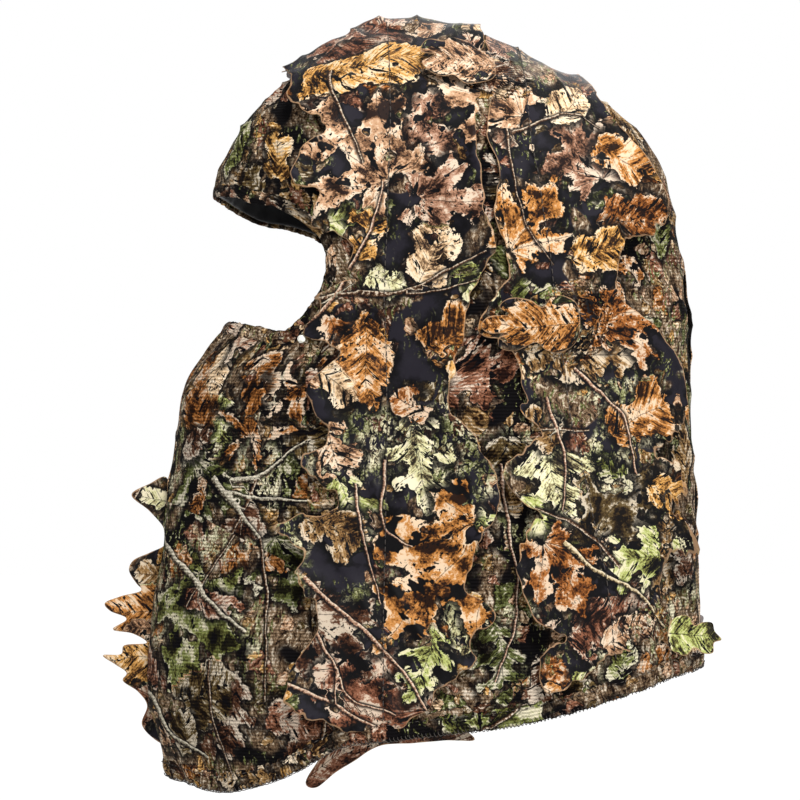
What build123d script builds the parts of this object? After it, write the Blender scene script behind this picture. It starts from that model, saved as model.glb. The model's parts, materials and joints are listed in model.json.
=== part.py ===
"""Leafy camouflage hood mask: a knitted mesh hood with an elastic face opening, covered in cut-out leaf strips.

Row frame: the wearer faces -Y, +X is the wearer's left and +Z is up. The origin is the point inside the crown
that rests on the top of the wearer's head. Every curved piece is a layer of one hood form: the form is a stack
of ellipses, and a layer lies between two grown copies of it, cut to an outline seen from the wearer's side.
Outline points are (y, z) in millimetres.
"""

import math
import os

from build123d import *

os.makedirs("parts", exist_ok=True)

# ---------------------------------------------------------------- driving dimensions, mm
# Inside of the hood: height, front, back, half width
SECTIONS = [
    (0, -16, 16, 13),
    (-6, -24, 34, 26),
    (-12, -34, 56, 40),
    (-24, -51, 76, 56),
    (-42, -72, 107, 70),
    (-62, -86, 126, 78),
    (-88, -95, 137, 82),
    (-120, -96, 143, 83),
    (-153, -91, 147, 82),
    (-170, -102, 148, 80),
    (-183, -111, 148, 79),
    (-215, -118, 149, 77),
    (-260, -123, 152, 79),
    (-310, -126, 154, 82),
    (-355, -126, 153, 85),
    (-410, -121, 150, 88),
]
REACH = 130  # further out than any part of the hood
CURVE_STEPS = 2  # straight runs for each point of a curved edge

# Layers: how far the inner and outer faces of a piece stand off the inside of the hood
LINING = (-2.4, -1.4)
SEAM = (-2.0, 0.0)
FABRIC = (0.0, 1.2)
CASING = (-1.0, 1.5)
ELASTIC = (0.1, 0.9)
OVERLOCK = (1.5, 2.0)
STRIP = (2.2, 3.2)
STITCH = (3.4, 3.8)
HANGING = (3.9, 4.9)
FLAP_STAND_OFF = 4.2

CASING_WIDTH = 9
ELASTIC_INSET = 2
LINING_WIDTH = 26
HEM_WIDTH = 12
OVERLOCK_WIDTH = 4
SEAM_WIDTH = 5
STITCH_WIDTH = 0.9
BAND_GAP = 0.6  # between the fixed casing and the nose band that slides away from it

# The face opening: its curved edge from the brow round the temple to the cheek, then its straight nose edge
BROW_EDGE = [(-130, -71), (-95, -89.5), (-75, -100), (-57, -103), (-41, -110), (-37, -123), (-40, -137), (-58, -158)]
NOSE_EDGE = [(-68, -156.5), (-88, -152.5), (-130, -146)]
# The nose band is the opening's edge on the front side of this line
BAND_SIDE = [(-59, -157), (-52.5, -170.5), (-60, -190), (-160, -190), (-160, -120), (-70, -140)]

# The front panel lies ahead of the cheek seam
CHEEK_SEAM = [(-50, -166), (-43, -195), (-41, -300), (-41, -420)]
# The nose cover bunches up above this fold line, square to the way that the nose band is pulled
PULL = Vector(0, -25, -52)
FOLD_POINT = (-129.6, -239)

# The lower edge, from the back of the neck to the chest
HEM = [(180, -322), (151, -331), (66, -358), (-3, -368), (-50, -385), (-80, -395.5), (-100, -396), (-140, -386)]

# Leaf strips: ragged front edge downwards, then ragged rear edge upwards
FRONT_STRIP_FRONT = [
    (0, 6), (-35, 2), (-53, -24), (-50, -36), (-47, -48), (-33, -60), (-44, -69), (-46, -86), (-36, -90), (-42, -104),
    (-22, -115), (-25, -126), (-18, -131), (-39, -138), (-38, -148), (-45, -161), (-28, -171), (-44, -187),
    (-35, -214), (-47, -222), (-30, -247), (-59, -258), (-44, -272), (-49, -279), (-39, -307), (-54, -333), (-46, -350),
]  # fmt: skip
FRONT_STRIP_REAR = [
    (-10, -359), (14, -348), (18, -340), (37, -323), (34, -312), (46, -302), (33, -288), (37, -269), (48, -242),
    (32, -206), (24, -197), (30, -165), (35, -140), (45, -118), (40, -95), (36, -60), (40, -30), (34, 6),
]  # fmt: skip
REAR_STRIP_FRONT = [
    (44, 6), (48, -32), (42, -60), (49, -78), (46, -98), (50, -112), (54, -128), (39, -157), (53, -163), (62, -191),
    (59, -198), (69, -210), (48, -230), (62, -248), (71, -252), (62, -258), (57, -285), (66, -305), (81, -311),
    (67, -327), (72, -340),
]  # fmt: skip
REAR_STRIP_REAR = [
    (136, -318), (141, -303), (133, -288), (147, -264), (139, -254), (143, -241), (124, -222), (140, -190),
    (127, -160), (111, -143), (107, -119), (121, -108), (124, -90), (104, -57), (88, -31), (75, 6),
]  # fmt: skip
# The leaf at the foot of the right front strip, which hangs below the hem
HANGING_LEAF = [
    (-12, -363), (-30, -362), (-36, -374), (-46, -388), (-36, -389), (-24, -380), (-12, -378), (0, -381), (12, -376),
    (38, -369), (24, -360), (4, -356),
]  # fmt: skip
FRONT_STITCH_LINE = [(-6, -6), (-4, -50), (-7, -140), (-6, -200), (-8, -300), (-8, -356)]
REAR_STITCH_LINE = [(58, -16), (65, -64), (75, -124), (84, -200), (102, -280), (108, -328)]

# Leaves that stand ahead of the front seam: the line that they are sewn along, then their tips and notches
FRONT_LEAF_BASE = [(-124, -232), (-132.2, -368)]
FRONT_LEAF_TIPS = [
    (-139, -242), (-131, -262), (-141, -280), (-136, -289), (-153, -298), (-142, -307), (-149, -312), (-134, -320),
    (-145, -322), (-155, -326), (-145, -339), (-137, -361),
]  # fmt: skip
LEAF_THICKNESS = 1.0

# Loose leaves: where each is sewn on (y, z), its length, width, number of lobes, the way it points in degrees up
# from straight ahead, and how far its tip is lifted off the hood in degrees
LOOSE_LEAVES = {
    "crown_leaf": {"sewn_at": (46, -28), "length": 36, "width": 34, "lobes": 3, "heading": 10, "lift": 4},
    "ear_leaf": {"sewn_at": (88, -153), "length": 50, "width": 32, "lobes": 3, "heading": -4, "lift": 0},
    "collar_leaf": {"sewn_at": (132, -312), "length": 36, "width": 26, "lobes": 2, "heading": 188, "lift": 24},
}

ELASTIC_END_AT = (-47, -163)
ELASTIC_END_RADIUS = 2.1

SIDES = {"left": 1, "right": -1}


# ---------------------------------------------------------------- the hood form and its layers
def section_at(height):
    """(front, back, half width) of the inside of the hood at a height, straight between its sections."""
    for upper, lower in zip(SECTIONS, SECTIONS[1:]):
        if height >= lower[0]:
            share = (upper[0] - height) / (upper[0] - lower[0])
            return [a + (b - a) * share for a, b in zip(upper[1:], lower[1:])]
    return SECTIONS[-1][1:]


def grown_sections(grow):
    """The sections moved out square to the hood's side by grow: height, centre, half depth, half width."""
    last = len(SECTIONS) - 1
    grown = []
    for i, (height, front, back, half_width) in enumerate(SECTIONS):
        upper, lower = SECTIONS[max(i - 1, 0)], SECTIONS[min(i + 1, last)]
        widening = ((lower[2] - lower[1]) / 2 + lower[3] - (upper[2] - upper[1]) / 2 - upper[3]) / 2
        out = Vector(upper[0] - lower[0], widening)
        out = Vector(0.3, 1) if i == 0 else Vector(1, 0) if i == last else out.normalized()
        middle, half_depth = (front + back) / 2, (back - front) / 2
        grown.append((height + grow * out.Y, middle, half_depth + grow * out.X, half_width + grow * out.X))
    return grown


def hood_form(grow):
    """The solid hood, grown by grow."""
    with BuildPart() as form:
        for height, centre, half_depth, half_width in grown_sections(grow):
            with BuildSketch(Plane.XY.offset(height)):
                with Locations((0, centre)):
                    Ellipse(half_width, half_depth)
        loft(ruled=True)
    return form.part


def hood_layer(inner, outer):
    """The skin between the hood grown by inner and by outer."""
    with BuildPart() as skin:
        add(hood_form(outer))
        add(hood_form(inner), mode=Mode.SUBTRACT)
    return skin.part


def surface_plane(y, z, side, stand_off, heading=0, lift=0):
    """A plane at a point of the hood's side: its X runs along the hood, heading degrees up from straight ahead and
    lifted off it by lift degrees, and its Z is the way out."""
    front, back, half_width = section_at(z)
    centre, half_depth = (front + back) / 2, (back - front) / 2
    x = half_width * math.sqrt(1 - ((y - centre) / half_depth) ** 2)
    below = section_at(z - 2)
    x_below = below[2] * math.sqrt(1 - ((y - (below[0] + below[1]) / 2) / ((below[1] - below[0]) / 2)) ** 2)
    along = Vector(-(y - centre) * half_width**2 / half_depth**2 / x, 1, 0) * -1
    down = Vector(x_below - x, 0, -2)
    out = along.cross(down).normalized()
    out = out if out.X > 0 else out * -1
    ahead = along.normalized()
    angle = math.radians(heading)
    towards = ahead * math.cos(angle) + out.cross(ahead) * (-math.sin(angle))
    raised = math.radians(lift)
    x_dir = towards * math.cos(raised) + out * math.sin(raised)
    z_dir = out * math.cos(raised) - towards * math.sin(raised)
    origin = Vector(x, y, z) + out * stand_off
    mirror = Vector(side, 1, 1)
    return Plane(
        origin=Vector(origin.X * mirror.X, origin.Y, origin.Z),
        x_dir=Vector(x_dir.X * mirror.X, x_dir.Y, x_dir.Z),
        z_dir=Vector(z_dir.X * mirror.X, z_dir.Y, z_dir.Z),
    )


# ---------------------------------------------------------------- outlines, seen from the side
def polygon(points):
    with BuildSketch() as face:
        with BuildLine():
            Polyline(*points, close=True)
        make_face()
    return face.sketch


def opening(margin=0):
    """The face opening, grown by a margin. Its curved edge is a run of short straight ones."""
    with BuildLine(mode=Mode.PRIVATE) as curve:
        Spline(*BROW_EDGE[1:])
    steps = CURVE_STEPS * (len(BROW_EDGE) - 2)
    curved = [curve.line @ (i / steps) for i in range(steps + 1)]
    with BuildSketch() as face:
        add(polygon([BROW_EDGE[0], *[(point.X, point.Y) for point in curved], *NOSE_EDGE]))
        if margin:
            offset(amount=margin, kind=Kind.INTERSECTION)
    return face.sketch


def above_hem(rise=0):
    """Everything over a line that is rise above the lower edge."""
    raised = [(y, z + rise) for y, z in HEM]
    with BuildSketch() as face:
        with BuildLine():
            Spline(*raised)
            Polyline(raised[-1], (-200, -386 + rise), (-200, 20), (200, 20), (200, -322 + rise), raised[0])
        make_face()
    return face.sketch


def front_area():
    """Everything ahead of the cheek seam and below the opening."""
    return polygon([(-62, -148), *CHEEK_SEAM, (-200, -420), (-200, -120)])


def above_fold():
    """Everything over the fold line that the nose cover bunches up on."""
    slope = PULL.Y / PULL.Z
    heights = {y: FOLD_POINT[1] - slope * (y - FOLD_POINT[0]) for y in (-200, 0)}
    return polygon([(-200, heights[-200]), (0, heights[0]), (0, 20), (-200, 20)])


def band_side(margin=0):
    """The part of the opening's edge that belongs to the nose band."""
    with BuildSketch() as face:
        add(polygon(BAND_SIDE))
        if margin:
            offset(amount=margin, kind=Kind.INTERSECTION)
    return face.sketch


def line_band(points, width):
    """A band along a line, width across."""
    with BuildSketch() as face:
        with BuildLine() as middle:
            Polyline(*points)
        trace(middle.line, line_width=width)
    return face.sketch


def leaf(length, width, lobes):
    """A lobed leaf from its sewn edge at X 0 to its tip: each lobe is a tip and the notch behind it."""
    stem = width * 0.30
    edge = [(0, stem)]
    for i in range(lobes):
        share = (i + 0.6) / (lobes + 0.7)
        reach = width / 2 * (1 - 0.45 * share)
        edge.append((length * (share + 0.04), reach))
        edge.append((length * (share + 0.15), reach * 0.52))
    tip = [(length, 0)]
    return polygon(edge + tip + [(u, -v) for u, v in reversed(edge)])


# ---------------------------------------------------------------- writing the pieces
def write(name, piece):
    piece.part.label = name
    export_step(piece.part, f"parts/{name}.step")


fabric_layer = hood_layer(*FABRIC)
casing_layer = hood_layer(*CASING)
elastic_layer = hood_layer(*ELASTIC)
seam_layer = hood_layer(*SEAM)
strip_layer = hood_layer(*STRIP)
stitch_layer = hood_layer(*STITCH)

# ---------------------------------------------------------------- knitted panels
for side, sign in SIDES.items():
    with BuildPart() as side_panel:
        with BuildSketch(Plane.YZ):
            add(above_hem(HEM_WIDTH))
            add(opening(CASING_WIDTH), mode=Mode.SUBTRACT)
            add(front_area(), mode=Mode.SUBTRACT)
        extrude(amount=sign * REACH)
        add(fabric_layer, mode=Mode.INTERSECT)
    write(f"side_panel_{side}", side_panel)

with BuildPart() as nose_cover:
    with BuildSketch(Plane.YZ):
        add(front_area())
        add(above_fold(), mode=Mode.INTERSECT)
        add(opening(CASING_WIDTH), mode=Mode.SUBTRACT)
    extrude(amount=REACH, both=True)
    add(fabric_layer, mode=Mode.INTERSECT)
write("nose_cover", nose_cover)

with BuildPart() as bib_panel:
    with BuildSketch(Plane.YZ):
        add(front_area())
        add(above_fold(), mode=Mode.SUBTRACT)
        add(above_hem(HEM_WIDTH), mode=Mode.INTERSECT)
    extrude(amount=REACH, both=True)
    add(fabric_layer, mode=Mode.INTERSECT)
write("bib_panel", bib_panel)

# ---------------------------------------------------------------- seam allowances inside the hood
with BuildPart() as crown_seam:
    with BuildSketch(Plane.YZ):
        add(above_hem(HEM_WIDTH))
        add(opening(LINING_WIDTH + 2), mode=Mode.SUBTRACT)
        add(front_area(), mode=Mode.SUBTRACT)
    extrude(amount=SEAM_WIDTH / 2, both=True)
    add(seam_layer, mode=Mode.INTERSECT)
write("crown_seam", crown_seam)

with BuildPart() as front_seam:
    with BuildSketch(Plane.YZ):
        add(front_area())
        add(above_fold(), mode=Mode.SUBTRACT)
        add(above_hem(HEM_WIDTH), mode=Mode.INTERSECT)
    extrude(amount=SEAM_WIDTH / 2, both=True)
    add(seam_layer, mode=Mode.INTERSECT)
write("front_seam", front_seam)

for side, sign in SIDES.items():
    with BuildPart() as cheek_seam:
        with BuildSketch(Plane.YZ):
            add(line_band(CHEEK_SEAM, SEAM_WIDTH))
            add(opening(CASING_WIDTH + 1), mode=Mode.SUBTRACT)
            add(above_hem(HEM_WIDTH), mode=Mode.INTERSECT)
        extrude(amount=sign * REACH)
        add(seam_layer, mode=Mode.INTERSECT)
    write(f"cheek_seam_{side}", cheek_seam)

# ---------------------------------------------------------------- face opening: casings, elastic and brow lining
with BuildPart() as brow_elastic:
    with BuildSketch(Plane.YZ):
        add(opening(CASING_WIDTH - ELASTIC_INSET))
        add(opening(ELASTIC_INSET), mode=Mode.SUBTRACT)
        add(band_side(BAND_GAP + ELASTIC_INSET), mode=Mode.SUBTRACT)
    extrude(amount=REACH, both=True)
    add(elastic_layer, mode=Mode.INTERSECT)
write("brow_elastic", brow_elastic)

with BuildPart() as brow_casing:
    with BuildSketch(Plane.YZ):
        add(opening(CASING_WIDTH))
        add(opening(), mode=Mode.SUBTRACT)
        add(band_side(BAND_GAP), mode=Mode.SUBTRACT)
    extrude(amount=REACH, both=True)
    add(casing_layer, mode=Mode.INTERSECT)
    add(brow_elastic.part, mode=Mode.SUBTRACT)
write("brow_casing", brow_casing)

with BuildPart() as nose_elastic:
    with BuildSketch(Plane.YZ):
        add(opening(CASING_WIDTH - ELASTIC_INSET))
        add(opening(ELASTIC_INSET), mode=Mode.SUBTRACT)
        add(band_side(-ELASTIC_INSET), mode=Mode.INTERSECT)
    extrude(amount=REACH, both=True)
    add(elastic_layer, mode=Mode.INTERSECT)
write("nose_elastic", nose_elastic)

with BuildPart() as nose_casing:
    with BuildSketch(Plane.YZ):
        add(opening(CASING_WIDTH))
        add(opening(), mode=Mode.SUBTRACT)
        add(band_side(), mode=Mode.INTERSECT)
    extrude(amount=REACH, both=True)
    add(casing_layer, mode=Mode.INTERSECT)
    add(nose_elastic.part, mode=Mode.SUBTRACT)
write("nose_casing", nose_casing)

with BuildPart() as brow_lining:
    with BuildSketch(Plane.YZ):
        add(opening(LINING_WIDTH))
        add(opening(1), mode=Mode.SUBTRACT)
        add(polygon([(-160, -20), (-24, -20), (-24, -106), (-160, -106)]), mode=Mode.INTERSECT)
    extrude(amount=REACH, both=True)
    add(hood_layer(*LINING), mode=Mode.INTERSECT)
write("brow_lining", brow_lining)

for side, sign in SIDES.items():
    seat = surface_plane(*ELASTIC_END_AT, sign, STITCH[1] + ELASTIC_END_RADIUS)
    with BuildPart() as elastic_end:
        with Locations(seat):
            Sphere(ELASTIC_END_RADIUS)
    write(f"elastic_end_{side}", elastic_end)

# ---------------------------------------------------------------- lower hem
with BuildPart() as hem_elastic:
    with BuildSketch(Plane.YZ):
        add(above_hem(ELASTIC_INSET))
        add(above_hem(HEM_WIDTH - ELASTIC_INSET), mode=Mode.SUBTRACT)
    extrude(amount=REACH, both=True)
    add(elastic_layer, mode=Mode.INTERSECT)
write("hem_elastic", hem_elastic)

with BuildPart() as hem_casing:
    with BuildSketch(Plane.YZ):
        add(above_hem())
        add(above_hem(HEM_WIDTH), mode=Mode.SUBTRACT)
    extrude(amount=REACH, both=True)
    add(casing_layer, mode=Mode.INTERSECT)
    add(hem_elastic.part, mode=Mode.SUBTRACT)
write("hem_casing", hem_casing)

with BuildPart() as hem_overlock:
    with BuildSketch(Plane.YZ):
        add(above_hem())
        add(above_hem(OVERLOCK_WIDTH), mode=Mode.SUBTRACT)
    extrude(amount=REACH, both=True)
    add(hood_layer(*OVERLOCK), mode=Mode.INTERSECT)
write("hem_overlock", hem_overlock)

# ---------------------------------------------------------------- leaf strips and the stitching down their middles
for side, sign in SIDES.items():
    with BuildPart() as leaf_strip_front:
        with BuildSketch(Plane.YZ):
            add(polygon(FRONT_STRIP_FRONT + FRONT_STRIP_REAR))
        extrude(amount=sign * REACH)
        add(strip_layer, mode=Mode.INTERSECT)
    write(f"leaf_strip_front_{side}", leaf_strip_front)

    with BuildPart() as leaf_strip_rear:
        with BuildSketch(Plane.YZ):
            add(polygon(REAR_STRIP_FRONT + REAR_STRIP_REAR))
        extrude(amount=sign * REACH)
        add(strip_layer, mode=Mode.INTERSECT)
    write(f"leaf_strip_rear_{side}", leaf_strip_rear)

    with BuildPart() as strip_stitching:
        with BuildSketch(Plane.YZ):
            add(line_band(FRONT_STITCH_LINE, STITCH_WIDTH))
            add(line_band(REAR_STITCH_LINE, STITCH_WIDTH))
        extrude(amount=sign * REACH)
        add(stitch_layer, mode=Mode.INTERSECT)
    write(f"strip_stitching_{side}", strip_stitching)

with BuildPart() as hanging_leaf:
    with BuildSketch(Plane.YZ):
        add(polygon(HANGING_LEAF))
    extrude(amount=-REACH)
    add(hood_layer(*HANGING), mode=Mode.INTERSECT)
write("hanging_leaf", hanging_leaf)

with BuildPart() as front_leaf_strip:
    with BuildSketch(Plane.YZ):
        add(polygon([FRONT_LEAF_BASE[0], *FRONT_LEAF_TIPS, FRONT_LEAF_BASE[1]]))
    extrude(amount=LEAF_THICKNESS / 2, both=True)
write("front_leaf_strip", front_leaf_strip)

# ---------------------------------------------------------------- loose leaves
for name, at in LOOSE_LEAVES.items():
    for side, sign in SIDES.items():
        seat = surface_plane(*at["sewn_at"], sign, FLAP_STAND_OFF, at["heading"], at["lift"])
        with BuildPart() as loose_leaf:
            with BuildSketch(seat):
                add(leaf(at["length"], at["width"], at["lobes"]))
            extrude(amount=LEAF_THICKNESS)
        write(f"{name}_{side}", loose_leaf)
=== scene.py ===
"""A leafy camouflage hood mask, filled out as if worn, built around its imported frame.

Row frame, in metres: the wearer faces -Y, +X is the wearer's left and +Z is up. The origin is the point inside the
crown that rests on the head. Lengths that are written in millimetres are turned into metres by MM.
"""

import json
import math

import bmesh
import bpy
import numpy as np
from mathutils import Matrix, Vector
from mathutils.geometry import delaunay_2d_cdt


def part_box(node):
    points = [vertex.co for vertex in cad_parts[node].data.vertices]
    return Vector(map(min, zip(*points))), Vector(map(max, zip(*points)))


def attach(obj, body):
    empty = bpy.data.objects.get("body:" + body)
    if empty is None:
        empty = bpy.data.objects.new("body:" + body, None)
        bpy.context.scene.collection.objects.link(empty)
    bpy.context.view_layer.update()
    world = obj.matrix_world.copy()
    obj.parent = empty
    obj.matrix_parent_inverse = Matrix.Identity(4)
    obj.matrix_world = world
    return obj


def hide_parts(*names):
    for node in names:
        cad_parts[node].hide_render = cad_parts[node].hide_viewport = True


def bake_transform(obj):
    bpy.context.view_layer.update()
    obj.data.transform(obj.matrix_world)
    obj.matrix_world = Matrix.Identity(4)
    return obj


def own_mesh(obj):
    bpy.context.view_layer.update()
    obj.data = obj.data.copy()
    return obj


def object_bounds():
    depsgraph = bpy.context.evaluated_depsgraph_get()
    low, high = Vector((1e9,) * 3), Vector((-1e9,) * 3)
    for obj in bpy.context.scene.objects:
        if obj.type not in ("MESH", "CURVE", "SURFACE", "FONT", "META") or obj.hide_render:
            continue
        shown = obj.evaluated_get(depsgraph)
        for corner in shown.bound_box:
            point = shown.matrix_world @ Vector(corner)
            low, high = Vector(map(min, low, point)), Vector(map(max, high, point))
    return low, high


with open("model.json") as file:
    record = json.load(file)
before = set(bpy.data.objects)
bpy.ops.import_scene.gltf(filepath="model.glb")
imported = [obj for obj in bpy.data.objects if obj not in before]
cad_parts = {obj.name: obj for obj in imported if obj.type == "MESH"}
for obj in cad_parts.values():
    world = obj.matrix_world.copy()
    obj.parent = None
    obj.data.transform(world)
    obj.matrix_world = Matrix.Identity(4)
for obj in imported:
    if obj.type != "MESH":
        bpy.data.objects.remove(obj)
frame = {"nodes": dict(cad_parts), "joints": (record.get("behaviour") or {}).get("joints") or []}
cad_low, cad_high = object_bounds()

MM = 0.001
SIDES = {"left": 1, "right": -1}

# ---------------------------------------------------------------- sizes of the hood, mm
# The hood's shape, as in the frame: height, front, back, half width
SECTIONS = [
    (0, -16, 16, 13),
    (-6, -24, 34, 26),
    (-12, -34, 56, 40),
    (-24, -51, 76, 56),
    (-42, -72, 107, 70),
    (-62, -86, 126, 78),
    (-88, -95, 137, 82),
    (-120, -96, 143, 83),
    (-153, -87.5, 147, 82),
    (-170, -98.5, 148, 80),
    (-183, -108.5, 148, 79),
    (-215, -114.5, 149, 77),
    (-240, -117.5, 151, 78),
    (-260, -119.5, 152, 79),
    (-310, -125, 154, 82),
    (-355, -124, 153, 85),
    (-375, -118.5, 152, 86),
    (-410, -113, 150, 88),
]
# Outlines seen from the wearer's left, as (y, z)
OPENING_EDGE = [
    (-95.3, -89.3), (-75, -100), (-57, -103), (-41, -110), (-37, -123), (-40, -137), (-58, -158), (-68, -156.5),
    (-82, -153.8), (-91.2, -152),
]  # fmt: skip
BAND_START = -50  # the nose band is the part of the opening's lower edge ahead of this
BROW_RISE = 7  # the brow's edge sits this much higher on the wearer's left
CHEEK_SEAM = [(-47.5, -166), (-41, -410)]
PULL = (0, -25, -52)
FOLD_POINT = (0, -129.6, -239)
HEM = [(180, -322), (151, -331), (66, -355), (0, -363), (-34, -369), (-50, -379), (-72, -388), (-92, -392), (-110, -389),
       (-140, -380)]  # fmt: skip
FRONT_STRIP = [
    (-0, 4), (-35, 2), (-53, -24), (-50, -36), (-47, -48), (-33, -60), (-44, -69), (-46, -86), (-36, -90), (-42, -104),
    (-22, -115), (-25, -126), (-18, -131), (-39, -138), (-38, -148), (-45, -161), (-28, -171), (-44, -187),
    (-35, -214), (-47, -222), (-30, -247), (-59, -258), (-44, -272), (-49, -279), (-39, -307), (-54, -333), (-46, -350),
    (-10, -359), (14, -348), (18, -340), (37, -323), (34, -312), (46, -302), (33, -288), (37, -269), (48, -242),
    (32, -206), (24, -197), (30, -165), (35, -140), (45, -118), (40, -95), (36, -60), (40, -30), (34, 4),
]  # fmt: skip
REAR_STRIP = [
    (44, 4), (48, -32), (42, -60), (49, -78), (46, -98), (50, -112), (54, -128), (39, -157), (53, -163), (62, -191),
    (59, -198), (69, -210), (48, -230), (62, -248), (71, -252), (62, -258), (57, -285), (66, -305), (81, -311),
    (67, -327), (72, -340), (132, -318), (137, -303), (128, -288), (139, -264), (131, -252), (137, -238), (122, -222),
    (135, -192), (125, -160), (111, -143), (107, -119), (121, -108), (124, -90), (104, -57), (88, -31), (75, 4),
]  # fmt: skip
FRONT_STITCH = [(-6, -2), (-4, -50), (-7, -140), (-6, -200), (-8, -300), (-8, -356)]
REAR_STITCH = [(58, -10), (65, -64), (75, -124), (84, -200), (102, -280), (108, -328)]
HANGING_LEAF = [
    (-12, -363), (-30, -362), (-38, -380), (-49, -399), (-43, -402), (-33, -394), (-20, -386), (-8, -380), (8, -379),
    (22, -378), (40, -377), (34, -371), (24, -362), (4, -356),
]  # fmt: skip
FRONT_LEAVES = [
    (-121.7, -233), (-130, -236.4), (-139.6, -242.2), (-130, -251), (-122.7, -260), (-122.2, -268), (-130, -272.3),
    (-138.8, -276.5), (-140.9, -281.2), (-136.8, -288.5), (-134.2, -291.6), (-145.6, -295.2), (-153.6, -298.9),
    (-150.8, -302.5), (-142, -306.7), (-149.4, -312.1), (-138.8, -314.4), (-131.5, -319.1), (-143.9, -320.9),
    (-144.8, -325), (-154.8, -325.9), (-148, -330.7), (-142.1, -335.2), (-144.4, -338.8), (-136.1, -344.8),
    (-131.5, -351.6), (-134.2, -361.8), (-126, -370.5), (-121, -372), (-119, -340), (-119, -300), (-118, -260),
]  # fmt: skip


# ---------------------------------------------------------------- smooth curves and noise
def through(knots, values, at):
    """A smooth curve through (knots, values), read at `at`."""
    knots, values = np.asarray(knots, float), np.asarray(values, float)
    slopes = np.gradient(values, knots)
    i = np.clip(np.searchsorted(knots, at) - 1, 0, len(knots) - 2)
    step = knots[i + 1] - knots[i]
    t = (at - knots[i]) / step
    start = (1 + 2 * t) * (1 - t) ** 2 * values[i] + t * (1 - t) ** 2 * step * slopes[i]
    return start + t * t * (3 - 2 * t) * values[i + 1] + t * t * (t - 1) * step * slopes[i + 1]


def resample(points, spacing, closed=False):
    """Points evenly spaced along a polyline."""
    points = np.asarray(points, float)
    if closed:
        points = np.vstack([points, points[:1]])
    lengths = np.concatenate([[0], np.cumsum(np.linalg.norm(np.diff(points, axis=0), axis=1))])
    count = max(2, int(round(lengths[-1] / spacing)))
    at = np.linspace(0, lengths[-1], count + 1)
    even = np.stack([np.interp(at, lengths, points[:, k]) for k in range(points.shape[1])], axis=1)
    return even[:-1] if closed else even


def smooth_outline(points, spacing, closed=True):
    """A rounded line through the points, evenly spaced."""
    points = np.asarray(points, float)
    if closed:
        points = np.vstack([points[-2:], points, points[:2]])
    knots = np.concatenate([[0], np.cumsum(np.sqrt(np.linalg.norm(np.diff(points, axis=0), axis=1)))])
    first, last = (knots[2], knots[-2]) if closed else (knots[0], knots[-1])
    at = np.linspace(first, last, 24 * len(points), endpoint=not closed)
    dense = np.stack([through(knots, points[:, k], at) for k in range(points.shape[1])], axis=1)
    return resample(dense, spacing, closed)


def lattice_noise(points, seed):
    """Smooth noise from -1 to 1 with features one unit across."""
    table = np.random.default_rng(seed)
    order = table.permutation(256)
    order = np.concatenate([order, order, order])
    value = table.uniform(-1, 1, 256)
    base = np.floor(points).astype(int)
    part = points - base
    ease = part * part * part * (part * (part * 6 - 15) + 10)
    base &= 255
    total = np.zeros(len(points))
    for dx in (0, 1):
        for dy in (0, 1):
            for dz in (0, 1):
                corner = value[order[order[order[base[:, 0] + dx] + base[:, 1] + dy] + base[:, 2] + dz]]
                weight = np.abs((1 - dx - ease[:, 0]) * (1 - dy - ease[:, 1]) * (1 - dz - ease[:, 2]))
                total += corner * weight
    return total


def noise_along(along, seed):
    """Smooth noise from -1 to 1 along a line."""
    return lattice_noise(np.stack([along, 0 * along + 0.5, 0 * along + 0.5], axis=1), seed)


# ---------------------------------------------------------------- the hood's surface
# s runs down the hood from the crown, at the mean radius
_sections = np.vstack([[(0.6, 0, 0, 0)], np.array(SECTIONS, float)]) * MM
_radius = (_sections[:, 2] - _sections[:, 1] + 2 * _sections[:, 3]) / 4
_down = np.concatenate([[0], np.cumsum(np.hypot(np.diff(_radius), np.diff(_sections[:, 0])))])
FORM_S = np.arange(0, _down[-1], 0.25 * MM)
FORM_Z, _front, _back, FORM_WIDTH = (through(_down, _sections[:, k], FORM_S) for k in range(4))
FORM_Z = np.minimum.accumulate(FORM_Z) - FORM_S * 1e-6
FORM_MIDDLE, FORM_DEPTH = (_front + _back) / 2, np.maximum((_back - _front) / 2, 1e-5)
FORM_WIDTH = np.maximum(FORM_WIDTH, 1e-5)
FORM_SLOPES = [np.gradient(v, FORM_Z) for v in (FORM_MIDDLE, FORM_DEPTH, FORM_WIDTH)]


def at_height(z, tables=(FORM_MIDDLE, FORM_DEPTH, FORM_WIDTH)):
    return [np.interp(-z, -FORM_Z, table) for table in tables]


def outward(points):
    """The way out of the hood at points on or near it."""
    z = points[:, 2]
    middle, depth, width = at_height(z)
    d_middle, d_depth, d_width = at_height(z, FORM_SLOPES)
    across, along = points[:, 0] / width, (points[:, 1] - middle) / depth
    up = -(across**2) * d_width / width - along * d_middle / depth - along**2 * d_depth / depth
    way = np.stack([across / width, along / depth, up], axis=1)
    return way / np.maximum(np.linalg.norm(way, axis=1, keepdims=True), 1e-12)


def onto_hood(points):
    """Points moved along the way out until they are on the hood's surface."""
    points = points.copy()
    for _ in range(3):
        middle, depth, width = at_height(points[:, 2])
        across, along = points[:, 0] / width, (points[:, 1] - middle) / depth
        reach = np.sqrt(across**2 + along**2)
        way = outward(points)
        flat = np.hypot(way[:, 0], way[:, 1])
        radial = np.hypot(points[:, 0], points[:, 1] - middle)
        points -= way * ((1 - 1 / np.maximum(reach, 1e-6)) * radial * flat)[:, None]
    return points


def hood_points(theta, s):
    """Points at angles theta from the front, at s down from the crown."""
    z = np.interp(s, FORM_S, FORM_Z)
    middle, depth, width = (np.interp(s, FORM_S, t) for t in (FORM_MIDDLE, FORM_DEPTH, FORM_WIDTH))
    return np.stack([width * np.sin(theta), middle - depth * np.cos(theta), z], axis=1)


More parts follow.
